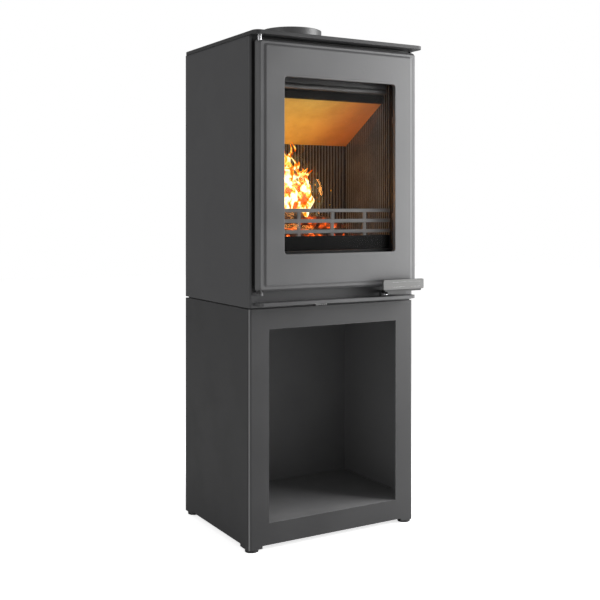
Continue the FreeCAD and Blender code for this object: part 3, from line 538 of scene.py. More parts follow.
@dataclass(frozen=True)
class Finish:
    """A named finish with the values that every metal or mineral surface needs."""

    name: str
    colour: Colour
    second: Colour
    rough: float = 0.6
    rough_swing: float = 0.06
    specular: float = 0.5
    metallic: float = 0.0
    bump: float = 0.0004
    bump_strength: float = 0.25

    def start(self) -> tuple[bpy.types.Material, Wiring, bpy.types.Node]:
        """Makes the material with a Principled shader.

        Returns:
            The material, its wiring and the shader node.
        """
        material = bpy.data.materials.new(self.name)
        material.use_nodes = True
        tree = material.node_tree
        tree.nodes.clear()
        w = Wiring(tree)
        shader = w.add("ShaderNodeBsdfPrincipled", Metallic=self.metallic, Specular_IOR_Level=self.specular)
        w.add("ShaderNodeOutputMaterial", Surface=shader.outputs[0])
        return material, w, shader

    def base(self, w: Wiring, tint: Socket) -> Socket:
        """The two tones, mixed by the tint."""
        return w.mix(tint, self.colour, self.second)

    def roughness(self, w: Wiring, tint: Socket) -> Socket:
        """Roughness that swings about its mean with the tint."""
        return w.span(tint, 0.0, 1.0, self.rough - self.rough_swing, self.rough + self.rough_swing)

    def relief(self, w: Wiring, shader: bpy.types.Node, height: Socket) -> None:
        """Feeds a height through a Bump node to the shader's normal."""
        bump = w.add("ShaderNodeBump", Strength=self.bump_strength, Distance=self.bump, Height=height)
        w.put(shader.inputs["Normal"], bump.outputs[0])


@dataclass(frozen=True)
class Paint(Finish):
    """Sprayed heat-proof paint: grain, slow drift of tone, rubbed edges and dust on top."""

    grain: float = 900.0
    wear: float = 0.5
    worn: Colour = (0.32, 0.32, 0.33)
    dust: float = 0.05

    def material(self, effects: Effects) -> bpy.types.Material:
        """Builds the material.

        Args:
            effects: the shared groups.

        Returns:
            The painted material.
        """
        material, w, shader = self.start()
        grain = effects.place(w, GroupName.GRAIN, Scale=self.grain)
        wear = effects.place(w, GroupName.WEAR, Amount=self.wear, Radius=0.0009).outputs["Mask"]
        dust = effects.place(w, GroupName.DUST, Amount=self.dust).outputs["Mask"]
        base = w.mix(wear, self.base(w, grain.outputs["Tint"]), self.worn)
        w.put(shader.inputs["Base Color"], w.mix(dust, base, DUST_COLOUR))
        rough = self.roughness(w, grain.outputs["Tint"])
        w.put(shader.inputs["Roughness"], w.math("SUBTRACT", rough, w.math("MULTIPLY", wear, 0.15), clamp=True))
        self.relief(w, shader, grain.outputs["Height"])
        return material


@dataclass(frozen=True)
class PaintedBounceLightPaint(Paint):
    """Paint with painted bounce light: a lighter tone inside a box-shaped room than outside it, standing in for light
    bounced onto the log store's inner walls.
    """

    room: tuple[float, float] = (0.2, -0.2)
    # painted bounce light: a lighter tone on the inner walls in place of light bounced into the log store
    lining: Colour = (0.1, 0.1, 0.1)

    def base(self, w: Wiring, tint: Socket) -> Socket:
        """Mixes the outer tones, then the painted bounce-light tone where |x| is below the room's half and y beyond
        its front.

        Args:
            w: the material's wiring.
            tint: slow drift of tone.

        Returns:
            The colour.
        """
        axes = w.axes()
        beside = w.math("LESS_THAN", w.math("ABSOLUTE", axes["X"]), self.room[0])
        behind = w.math("GREATER_THAN", axes["Y"], self.room[1])
        # painted bounce light on the faces inside the room
        return w.mix(w.math("MULTIPLY", beside, behind), super().base(w, tint), self.lining)


@dataclass(frozen=True)
class Brushed(Finish):
    """Bare metal with fine brushed lines along X."""

    lines: float = 260.0

    def material(self, effects: Effects) -> bpy.types.Material:
        """Builds the material.

        Args:
            effects: the shared groups.

        Returns:
            The brushed material.
        """
        material, w, shader = self.start()
        brush = effects.place(w, GroupName.BRUSH, Scale=self.lines)
        wear = effects.place(w, GroupName.WEAR, Amount=0.8, Radius=0.0006).outputs["Mask"]
        tint = brush.outputs["Tint"]
        w.put(shader.inputs["Base Color"], w.mix(wear, self.base(w, tint), BRIGHT_EDGE))
        w.put(shader.inputs["Roughness"], self.roughness(w, tint))
        self.relief(w, shader, brush.outputs["Height"])
        return material


@dataclass(frozen=True)
class Fired(Finish):
    """Mineral or iron surface inside the fire: coarse grain under clouds of soot."""

    soot: Colour = (0.012, 0.011, 0.010)
    soot_amount: float = 0.8
    coarse: float = 160.0
    ash: float = 0.0

    def material(self, effects: Effects) -> bpy.types.Material:
        """Builds the material.

        Args:
            effects: the shared groups.

        Returns:
            The sooted material.
        """
        material, w, shader = self.start()
        grain = effects.place(w, GroupName.GRAIN, Scale=self.coarse * 3, Blotch=9.0)
        soot = effects.place(w, GroupName.SOOT, Amount=self.soot_amount).outputs["Mask"]
        base = w.mix(soot, self.base(w, grain.outputs["Tint"]), self.soot)
        if self.ash > 0:
            ash = effects.place(w, GroupName.DUST, Amount=self.ash, Scale=70.0).outputs["Mask"]
            base = w.mix(ash, base, ASH_COLOUR)
        w.put(shader.inputs["Base Color"], base)
        w.put(shader.inputs["Roughness"], w.span(soot, 0.0, 1.0, self.rough, min(self.rough + 0.1, 1.0)))
        pits = w.noise(self.coarse, 5.0, rough=0.65)
        self.relief(w, shader, w.math("ADD", grain.outputs["Height"], pits))
        return material


@dataclass(frozen=True)
class RibbedBrick(Fired):
    """Lining whose grooves between its ridges get a painted shade colour, dark in place of the shadow on their walls,
    over clouds of soot.
    """

    ridge: tuple[float, float] = (0.165, 0.0525)
    fade: tuple[float, float] = (0.0002, 0.0018)
    # painted shade: grooves get this dark colour in place of the shadow falling on their walls
    painted_groove_shade: Colour = (0.015, 0.013, 0.012)

    def base(self, w: Wiring, tint: Socket) -> Socket:
        """Mixes the ridge tones, then the painted groove shade where |x| or y lies deeper than the ridges' faces.

        Args:
            w: the material's wiring.
            tint: slow drift of tone.

        Returns:
            The colour.
        """
        axes = w.axes()
        start, end = self.fade
        beside = w.span(w.math("ABSOLUTE", axes["X"]), self.ridge[0] + start, self.ridge[0] + end)
        behind = w.span(axes["Y"], self.ridge[1] + start, self.ridge[1] + end)
        # painted shade laid into the grooves behind the ridge faces
        return w.mix(w.math("MAXIMUM", beside, behind), super().base(w, tint), self.painted_groove_shade)


@dataclass(frozen=True)
class PaintedFalloffBoard(Fired):
    """Board with a painted light falloff: its tone turns redder away from the fire, along x, standing in for the
    redder light that reaches it there.
    """

    reach: tuple[float, float] = (-0.03, 0.15)
    # painted light: this redder tone stands in for the fire-only light away from the fire
    far: Colour = (0.66, 0.26, 0.07)

    def base(self, w: Wiring, tint: Socket) -> Socket:
        """The two tones, then the painted far-light tone by the share of the reach that lies behind."""
        return w.mix(w.span(w.axes()["X"], *self.reach), super().base(w, tint), self.far)


@dataclass(frozen=True)
class Woven(Finish):
    """Glass-fibre tape or rope."""

    yarns: float = 420.0

    def material(self, effects: Effects) -> bpy.types.Material:
        """Builds the material.

        Args:
            effects: the shared groups.

        Returns:
            The woven material.
        """
        material, w, shader = self.start()
        weave = effects.place(w, GroupName.WEAVE, Scale=self.yarns)
        soot = effects.place(w, GroupName.SOOT, Amount=0.35).outputs["Mask"]
        tint = weave.outputs["Tint"]
        w.put(shader.inputs["Base Color"], w.mix(soot, self.base(w, tint), SOOT_COLOUR))
        w.put(shader.inputs["Roughness"], w.span(tint, 0.0, 1.0, self.rough, self.rough - 0.1))
        self.relief(w, shader, weave.outputs["Height"])
        return material


@dataclass(frozen=True)
class FireGlass(Finish):
    """Clear glass ceramic: a thin film of haze on it reflects softly, and it holds back part of the direct light."""

    alpha: float = 0.045
    shade: float = 0.55
    index: float = 1.46

    def material(self, effects: Effects) -> bpy.types.Material:
        """Builds the material: the film is skipped by diffuse rays, and shadow rays meet the shade instead.

        Args:
            effects: the shared groups.

        Returns:
            The glass material.
        """
        material, w, shader = self.start()
        shader.inputs["Transmission Weight"].default_value = 1.0
        shader.inputs["IOR"].default_value = self.index
        shader.inputs["Base Color"].default_value = (*self.colour, 1.0)
        haze = effects.place(w, GroupName.SOOT, Amount=1.0, Scale=5.0).outputs["Mask"]
        film = w.span(haze, 0.0, 1.0, self.alpha, self.alpha * 1.2)
        path = w.add("ShaderNodeLightPath").outputs
        direct = w.math("SUBTRACT", 1.0, path["Is Diffuse Ray"])
        w.put(shader.inputs["Alpha"], w.math("MAXIMUM", w.math("MULTIPLY", film, direct),
                                             w.math("MULTIPLY", path["Is Shadow Ray"], self.shade)))
        w.put(shader.inputs["Roughness"], w.span(haze, 0.0, 1.0, self.rough, self.rough + self.rough_swing))
        return material


@dataclass(frozen=True)
class StudioFloor(Finish):
    """Pale paper that glows a little, for the camera alone, so that it shows as white with soft shadows."""

    lift: float = 0.74

    def material(self, effects: Effects) -> bpy.types.Material:
        """Builds the material.

        Args:
            effects: the shared groups.

        Returns:
            The floor's material.
        """
        material, w, shader = self.start()
        grain = effects.place(w, GroupName.GRAIN, Scale=300.0)
        w.put(shader.inputs["Base Color"], self.base(w, grain.outputs["Tint"]))
        shader.inputs["Roughness"].default_value = self.rough
        w.put(shader.inputs["Emission Color"], WHITE)
        seen = w.add("ShaderNodeLightPath").outputs["Is Camera Ray"]
        w.put(shader.inputs["Emission Strength"], w.math("MULTIPLY", seen, self.lift))
        return material


@dataclass(frozen=True)
class Ember(Finish):
    """Charred wood or coals, glowing where a noise of cracks runs deep and low."""

    glow: float = 3.0
    crack_scale: float = 55.0
    glow_from: float = 0.5
    glow_to: float = 0.72
    low: float = 0.0
    high: float = 1.0

    def material(self, effects: Effects) -> bpy.types.Material:
        """Builds the material.

        Args:
            effects: the shared groups.

        Returns:
            The glowing char.
        """
        material, w, shader = self.start()
        cells = w.add("ShaderNodeTexVoronoi", {"feature": "DISTANCE_TO_EDGE"}, Vector=w.coords(),
                      Scale=self.crack_scale).outputs["Distance"]
        cloud = w.noise(26.0, 4.0, rough=0.55)
        fade = w.span(w.axes()["Z"], self.low, self.high, 1.0, 0.0)
        crack = w.span(cells, 0.0, 0.09, 1.0, 0.0)
        hot = w.math("MULTIPLY", w.span(cloud, self.glow_from, self.glow_to), fade)
        heat = w.math("MULTIPLY", hot, w.math("ADD", w.math("MULTIPLY", crack, 0.8), 0.35), clamp=True)
        ash = effects.place(w, GroupName.DUST, Amount=0.7, Scale=60.0).outputs["Mask"]
        w.put(shader.inputs["Base Color"], w.mix(ash, self.base(w, w.span(cells, 0.0, 0.2)), FRESH_ASH))
        w.put(shader.inputs["Roughness"], w.span(cells, 0.0, 0.2, self.rough, self.rough - 0.15))
        w.put(shader.inputs["Emission Color"], w.ramp(heat, *EMBER_STOPS))
        shader.inputs["Emission Strength"].default_value = self.glow
        self.relief(w, shader, w.math("ADD", w.span(cells, 0.0, 0.15), cloud))
        return material


@dataclass(frozen=True)
class Flame(Finish):
    """Fire: colour and clearness both follow a noise that is drawn out upward and thins with height."""

    glow: float = 4.0
    low: float = 0.0
    high: float = 1.0
    body: float = 0.0

    def material(self, effects: Effects) -> bpy.types.Material:
        """Builds the material.

        Args:
            effects: the shared groups, none of which flames use.

        Returns:
            The flame material.
        """
        material, w, shader = self.start()
        coords = w.coords()
        rise = w.math("DIVIDE", w.math("SUBTRACT", w.axes()["Z"], self.low), self.high - self.low)
        bend = w.add("ShaderNodeTexNoise", Vector=coords, Scale=26.0, Detail=2.0).outputs["Color"]
        shifted = w.add("ShaderNodeVectorMath", {"operation": "MULTIPLY_ADD"}, i0=bend, i1=(0.05, 0.05, 0.03),
                        i2=coords).outputs[0]
        drawn = w.add("ShaderNodeMapping", Vector=shifted, Scale=(1.0, 1.0, 0.6)).outputs[0]
        licks = w.noise(62.0, 3.0, at=drawn, distortion=0.4)
        heat = w.math("SUBTRACT", w.math("ADD", w.span(licks, 0.33, 0.70), self.body), w.math("MULTIPLY", rise, 0.8))
        w.put(shader.inputs["Emission Color"], w.ramp(w.span(heat, -0.05, 0.9), *FLAME_STOPS))
        shader.inputs["Emission Strength"].default_value = self.glow
        w.put(shader.inputs["Base Color"], BLACK)
        w.put(shader.inputs["Alpha"], w.span(heat, 0.02, 0.22))
        return material


PAINT = Paint("casing_paint", (0.052, 0.052, 0.054), (0.060, 0.060, 0.062), rough=0.5, specular=0.4, wear=0.35)
DOOR_PAINT = Paint("door_paint", (0.074, 0.074, 0.076), (0.084, 0.084, 0.086), rough=0.42, specular=0.5, wear=0.4,
                   grain=700.0, bump=0.0006)
LIP_PAINT = Paint("lip_paint", (0.055, 0.055, 0.056), (0.063, 0.063, 0.065), rough=0.4, specular=0.5, wear=0.8)
BLACK_PAINT = Paint("black_paint", (0.012, 0.012, 0.012), (0.018, 0.018, 0.018), rough=0.6, wear=0.2, dust=0.05)
STORE_PAINT = Paint("store_paint", (0.11, 0.11, 0.112), (0.125, 0.125, 0.127), rough=0.52, specular=0.35,
                    wear=0.3, dust=0.25)
COLLAR_PAINT = Paint("collar_paint", (0.086, 0.086, 0.088), (0.098, 0.098, 0.100), rough=0.45, wear=0.9)
HANDLE_STEEL = Brushed("handle_steel", (0.097, 0.097, 0.095), (0.120, 0.120, 0.118), rough=0.5, metallic=0.5,
                       bump=0.0002)
ZINC = Brushed("zinc_steel", (0.40, 0.40, 0.41), (0.55, 0.55, 0.56), rough=0.35, metallic=1.0, lines=500.0)
DULL_STEEL = Brushed("dull_steel", (0.14, 0.14, 0.14), (0.22, 0.22, 0.22), rough=0.5, metallic=1.0)
CLIP_STEEL = Brushed("clip_steel", (0.10, 0.10, 0.10), (0.15, 0.15, 0.15), rough=0.7, specular=0.2, metallic=0.2)
LINING = RibbedBrick("lining_brick", (0.150, 0.165, 0.175), (0.190, 0.205, 0.215), rough=0.85, soot_amount=0.3)
# the baffle gets a painted light falloff, redder towards the right
BAFFLE = PaintedFalloffBoard("baffle_board", (0.62, 0.46, 0.10), (0.70, 0.55, 0.14), rough=0.9, specular=0.2,
                    soot=(0.34, 0.18, 0.05), soot_amount=0.3, coarse=260.0, bump=0.0006)
SOOTED = Fired("sooted_steel", (0.008, 0.0075, 0.007), (0.012, 0.011, 0.010), rough=0.7, specular=0.2, soot_amount=0.6)
GRATE_IRON = Fired("grate_iron", (0.045, 0.043, 0.041), (0.07, 0.066, 0.062), rough=0.7, ash=0.8)
FENCE_IRON = Fired("fence_iron", (0.16, 0.16, 0.16), (0.20, 0.20, 0.198), rough=0.5, soot_amount=0.2,
                   coarse=300.0)
TAPE = Woven("glass_tape", (0.20, 0.19, 0.17), (0.42, 0.40, 0.36), rough=0.95)
ROPE = Woven("door_rope", (0.04, 0.04, 0.04), (0.14, 0.14, 0.13), rough=0.95, yarns=600.0)
GLASS = FireGlass("fire_glass", (0.96, 0.96, 0.95), WHITE, rough=0.17, rough_swing=0.03)
PLATE_PAINT = Paint("plate_paint", (0.032, 0.032, 0.033), (0.038, 0.038, 0.039), rough=0.5, specular=0.3, wear=0.9)
SPIGOT_PAINT = Paint("spigot_paint", (0.020, 0.020, 0.020), (0.026, 0.026, 0.026), rough=0.5, wear=0.5)
STORE_FLOOR = Paint("store_floor", (0.140, 0.140, 0.142), (0.152, 0.152, 0.154), rough=0.6, wear=0.2, dust=0.03)
# the base's inner walls get a painted bounce-light tone, far lighter than its outside
SHELL_PAINT = PaintedBounceLightPaint("base_paint", (0.034, 0.034, 0.035), (0.041, 0.041, 0.042), rough=0.52, specular=0.3,
                         wear=0.35, room=(0.2235, -0.1525), lining=(0.17, 0.17, 0.172))
RUBBER = Paint("foot_rubber", (0.018, 0.018, 0.018), (0.024, 0.024, 0.024), rough=0.6, wear=0.1)
LEVER_BLACK = Paint("lever_black", (0.012, 0.012, 0.012), (0.018, 0.018, 0.018), rough=0.45, wear=0.5)
RETAINER_BLACK = Paint("retainer_black", (0.009, 0.009, 0.009), (0.012, 0.012, 0.012), rough=0.75, specular=0.1,
                       wear=0.1)
NOSE_STEEL = Paint("nose_steel", (0.045, 0.045, 0.045), (0.060, 0.058, 0.056), rough=0.35, wear=0.2)
FLOOR = StudioFloor("studio_floor", (0.86, 0.86, 0.86), (0.88, 0.88, 0.88), rough=0.9, specular=0.1)
EMBER_LOG = Ember("burning_log", (0.010, 0.008, 0.007), (0.045, 0.030, 0.022), rough=0.9, bump=0.002,
                  bump_strength=0.6, glow=2.5, low=0.70, high=0.77)
EMBER_BED = Ember("ember_bed", (0.05, 0.045, 0.042), (0.16, 0.15, 0.14), rough=0.95, bump=0.002, bump_strength=0.6,
                  glow=1.8, low=0.675, high=0.70)
EMBER_COAL = Ember("coal", (0.010, 0.009, 0.008), (0.05, 0.04, 0.035), rough=0.9, bump=0.0015, bump_strength=0.6,
                   glow=2.4, crack_scale=110.0, low=0.68, high=0.71)
FLAME = Flame("flame", BLACK, BLACK, rough=1.0, specular=0.0, glow=1.6, low=0.75, high=0.965, body=0.26)
SPARK = Flame("spark", BLACK, BLACK, rough=1.0, specular=0.0, glow=1.3, low=0.60, high=0.85, body=0.25)


class Wardrobe:
    """Every material, made once and handed out by its finish."""

    def __init__(self) -> None:
        """Builds the shared effects."""
        self.effects = Effects()
        self.made: dict[str, bpy.types.Material] = {}

    def __getitem__(self, finish: Finish) -> bpy.types.Material:
        """The material of a finish."""
        if finish.name not in self.made:
            self.made[finish.name] = finish.material(self.effects)
        return self.made[finish.name]


@dataclass
class Assembly:
    """What every sub-assembly shares: the frame's nodes and the materials."""

    nodes: dict[str, bpy.types.Object]
    wardrobe: Wardrobe

    def dress(self, finish: Finish, *names: str) -> None:
        """Gives CAD nodes a material.

        Args:
            finish: what they are finished in.
            *names: the nodes.
        """
        for name in names:
            for slot in self.nodes[name].material_slots:
                slot.material = self.wardrobe[finish]
            LOG.info("node %s is finished in %s", name, finish.name)


def corners(node: str) -> tuple[np.ndarray, np.ndarray]:
    """Lowest and highest corners of a CAD node as arrays."""
    low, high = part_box(node)
    return np.array(low), np.array(high)


# ---------------------------------------------------------------- sub-assemblies
@dataclass
class Casing(Assembly):
    """Folded casing, its top plate and the ash lip.

    Attributes:
        plate_corner: corner radius of the plate.
        plate_edge: softening of its rim, with hole_edge at the hole.
        hole: radius of the flue hole.
    """

    plate_corner: float = 15 * MM
    plate_edge: float = 1.1 * MM
    hole_edge: float = 0.44 * MM
    hole: float = 76.9 * MM

    def top_plate(self) -> None:
        """Thick plate with softened edges: outlines run from the flue hole out over the rim and back beneath."""
        low, high = corners("top_plate")
        flue_low, flue_high = corners("collar_bolts")
        centre = (flue_low + flue_high) / 2
        r = self.hole
        hole = [centre[0] - r, centre[0] + r, centre[1] - r, centre[1] + r]
        rim = [low[0], high[0], low[1], high[1]]
        stations = np.array([hole + [low[2], r], hole + [high[2], r],
                             rim + [high[2], self.plate_corner], rim + [low[2], self.plate_corner]])
        edges = np.array([self.hole_edge, self.hole_edge, self.plate_edge, self.plate_edge])
        soft = soften(stations, edges, metric=(1, 4))
        inner = soft[:, 1] < centre[0] + r + 20 * MM
        soft[inner, 5] = (soft[inner, 1] - soft[inner, 0]) / 2
        soft[~inner, 5] = self.plate_corner - (high[0] - soft[~inner, 1])
        surface = Surface()
        surface.grid(outlines(soft, axis=2, per_corner=12), wrap_u=True, wrap_v=True)
        surface.build("top_plate_skin", "stove", self.wardrobe[PLATE_PAINT], "casing_paint", ["top_plate"])

    def build(self) -> None:
        """Dresses the casing and adds the plate."""
        self.dress(PAINT, "casing_shell", "rear_panel", "hinge_lug")
        self.dress(LIP_PAINT, "ash_lip")
        self.dress(BLACK_PAINT, "casing_floor", "front_frame", "air_box", "pan_rails")
        self.dress(SPIGOT_PAINT, "air_spigot")
        self.dress(ZINC, "rear_screws", "hinge_pin_upper")
        self.dress(BLACK_PAINT, "keeper_pin", "hinge_washer", "hinge_pin_lower")
        self.top_plate()


@dataclass
class LogStore(Assembly):
    """Open base with its floor, back and levelling feet."""

    def build(self) -> None:
        """Dresses the base."""
        self.dress(SHELL_PAINT, "base_shell")
        self.dress(STORE_PAINT, "base_back", "base_top")
        self.dress(STORE_FLOOR, "base_floor")
        self.dress(BLACK_PAINT, "foot_brackets")
        self.dress(RUBBER, "foot_front_left", "foot_front_right", "foot_rear_left", "foot_rear_right")


@dataclass
class Flue(Assembly):
    """Collar on the top plate."""

    def build(self) -> None:
        """Dresses the collar and its bolts."""
        self.dress(COLLAR_PAINT, "flue_collar")
        self.dress(ZINC, "collar_bolts")


@dataclass
class Door(Assembly):
    """Cast door with its glass, rope and clips.

    Attributes:
        back: Y of the casting's back.
        corner: corner radius of the outline.
        chamfer: width of the chamfer at the sides, with chamfer_rise above and below.
        rim_back: how far the flat rim lies behind the panel's face, with corners of rim_corner.
        wall_back: how far the chamfer runs back from the rim.
        panel_inset: inset of the raised panel's foot at the sides, with panel_low and panel_high at the ends.
        panel_slope: run of its slope at the sides, with panel_slope_below and panel_slope_above at the ends.
        panel_corners: corner radii of its foot and its face.
        window_side: inset of the window at the sides, with window_below and window_above at the ends.
        jamb: depth of the window's wall.
        rebate: how far the opening widens behind it.
        edges: softening of each outline in turn, in millimetres.
        ribs: offset from the rope's box, then width, of each rib that holds the rope.
        rib_back: Y of the ribs' ends.
        strands: strands of the rope.
        lay: length of one turn of its twist.
    """

    back: float = -165.5 * MM
    corner: float = 9 * MM
    chamfer: float = 6 * MM
    chamfer_rise: float = 5.5 * MM
    rim_back: float = 3 * MM
    rim_corner: float = 6 * MM
    wall_back: float = 6.7 * MM
    panel_inset: float = 16 * MM
    panel_slope: float = 3.5 * MM
    panel_slope_below: float = 4.3 * MM
    panel_slope_above: float = 4.7 * MM
    panel_corners: tuple[float, float] = (5 * MM, 4 * MM)
    panel_low: float = 10.7 * MM
    panel_high: float = 10.3 * MM
    window_side: float = 65.4 * MM
    window_below: float = 81.4 * MM
    window_above: float = 80.0 * MM
    window_corner: float = 7.2 * MM
    jamb: float = 10 * MM
    rebate: float = 7.4 * MM
    edges: tuple[float, ...] = (0.5, 1.0, 1.6, 1.2, 1.2, 0.9, 0.6, 0.5, 0.5)
    ribs: tuple[tuple[float, float], ...] = ((-0.2 * MM, 3 * MM), (9.0 * MM, -3 * MM))
    rib_back: float = -156.5 * MM
    strands: int = 3
    lay: float = 16 * MM

    def skin(self) -> None:
        """Front casting: outlines run from the back edge over the chamfer, rim and raised panel into the window."""
        low, high = corners("door_frame")
        front = low[1]
        rim_y = front + self.rim_back

        def ring(dx: float, down: float, up: float, depth: float, radius: float) -> list[float]:
            """Outline set in from the frame's box by dx at the sides, down below and up above."""
            return [low[0] + dx, high[0] - dx, low[2] + down, high[2] - up, depth, radius]

        side, below, above, r = self.window_side, self.window_below, self.window_above, self.rebate
        foot_corner, face_corner = self.panel_corners
        stations = np.array([
            ring(0, 0, 0, self.back, self.corner),
            ring(0, 0, 0, rim_y + self.wall_back, self.corner),
            ring(self.chamfer, self.chamfer_rise, self.chamfer_rise, rim_y, self.rim_corner),
            ring(self.panel_inset, self.panel_low, self.panel_high, rim_y, foot_corner),
            ring(self.panel_inset + self.panel_slope, self.panel_low + self.panel_slope_below,
                 self.panel_high + self.panel_slope_above, front, face_corner),
            ring(side, below, above, front, self.window_corner),
            ring(side, below, above, front + self.jamb, self.window_corner),
            ring(side - r, below - r, above - r, front + self.jamb, self.window_corner),
            ring(side - r, below - r, above - r, self.back, self.window_corner)])
        soft = soften(stations, np.array(self.edges) * MM, metric=(1, 4))
        surface = Surface()
        surface.grid(outlines(soft, axis=1, per_corner=8), wrap_u=True, wrap_v=True)
        surface.build("door_skin", "door", self.wardrobe[DOOR_PAINT], "door_cast_iron", ["door_frame"])

    def channel(self) -> None:
        """Two ribs on the door's back that hold the rope."""
        low, high = corners("rope_seal")
        surface = Surface()
        y0, y1 = self.back - 0.1 * MM, self.rib_back
        for gap, width in self.ribs:
            near = [low[0] + gap, high[0] - gap, low[2] + gap, high[2] - gap]
            far = [near[0] - width, near[1] + width, near[2] - width, near[3] + width]
            r = max(7 * MM - max(gap, 0), 1 * MM)
            stations = np.array([near + [y0, r], near + [y1, r], far + [y1, r + width], far + [y0, r + width]])
            surface.grid(outlines(soften(stations, 0.5 * MM, metric=(1, 4)), axis=1), wrap_u=True, wrap_v=True)
        surface.build("rope_channel", "door", self.wardrobe[DOOR_PAINT], "door_cast_iron")

    def rope(self) -> None:
        """Twisted rope: a ring whose section radius is 1 + 0.1 |sin| of its angle plus the distance run."""
        low, high = corners("rope_seal")
        half = 4.1 * MM
        path = outlines(np.array([[low[0] + half, high[0] - half, low[2] + half, high[2] - half,
                                   (low[1] + high[1]) / 2, 8 * MM]]), axis=1, per_corner=10)[0]
        gaps = np.linalg.norm(np.roll(path, -1, 0) - path, axis=1)
        run = np.concatenate([[0], np.cumsum(gaps)])
        steps = 900
        s = np.linspace(0, run[-1], steps, endpoint=False)
        closed = np.concatenate([path, path[:1]])
        line = np.stack([np.interp(s, run, closed[:, k]) for k in range(3)], axis=-1)
        forward = np.roll(line, -1, 0) - np.roll(line, 1, 0)
        forward /= np.linalg.norm(forward, axis=1, keepdims=True)
        depth = np.array([0.0, 1.0, 0.0])
        side = np.cross(forward, depth)
        angle = np.linspace(0, 2 * math.pi, 20, endpoint=False)
        turns = round(run[-1] / self.lay)
        twist = np.abs(np.sin(self.strands / 2 * angle[None] + math.pi * turns * s[:, None] / run[-1]))
        r = 0.9 + 0.1 * twist
        p = (line[:, None] + side[:, None] * (half * r * np.cos(angle))[..., None]
             + depth * ((high[1] - low[1]) / 2 * r * np.sin(angle))[..., None])
        surface = Surface()
        surface.grid(p, wrap_u=True, wrap_v=True)
        surface.build("door_rope", "door", self.wardrobe[ROPE], "rope", ["rope_seal"])

    def build(self) -> None:
        """Dresses the door and adds its castings and rope."""
        self.dress(GLASS, "door_glass")
        self.dress(TAPE, "glass_gasket")
        self.dress(CLIP_STEEL, "glass_clips", "clip_screws")
        self.dress(ZINC, "pivot_pin")
        self.skin()
        self.channel()
        self.rope()


@dataclass
class Handle(Assembly):
    """Lever under the door with a brushed grip plate."""

    edge: float = 0.7 * MM
    corner: float = 3.0 * MM
    lid_inset: float = 6 * MM

    def plate(self) -> None:
        """Flat bar with soft edges, its outlines facing front."""
        low, high = corners("handle_plate")
        rim = [low[0], high[0], low[2], high[2]]
        inset = self.lid_inset
        middle = [low[0] + inset, high[0] - inset, low[2] + inset, high[2] - inset]
        profile = np.array([middle + [high[1], 1 * MM], rim + [high[1], self.corner],
                            rim + [low[1], self.corner], middle + [low[1], 1 * MM]])
        soft = soften(profile, self.edge, closed=False, metric=(1, 4))
        soft[:, 5] = np.maximum(self.corner - (soft[:, 0] - low[0]), 0.6 * MM)
        surface = Surface()
        surface.solid(outlines(soft, axis=1, per_corner=6))
        surface.build("handle_grip", "handle", self.wardrobe[HANDLE_STEEL], "brushed_steel", ["handle_plate"])

    def build(self) -> None:
        """Dresses the lever and adds the plate."""
        self.dress(LEVER_BLACK, "handle_lever")
        self.dress(ZINC, "handle_screws")
        self.plate()


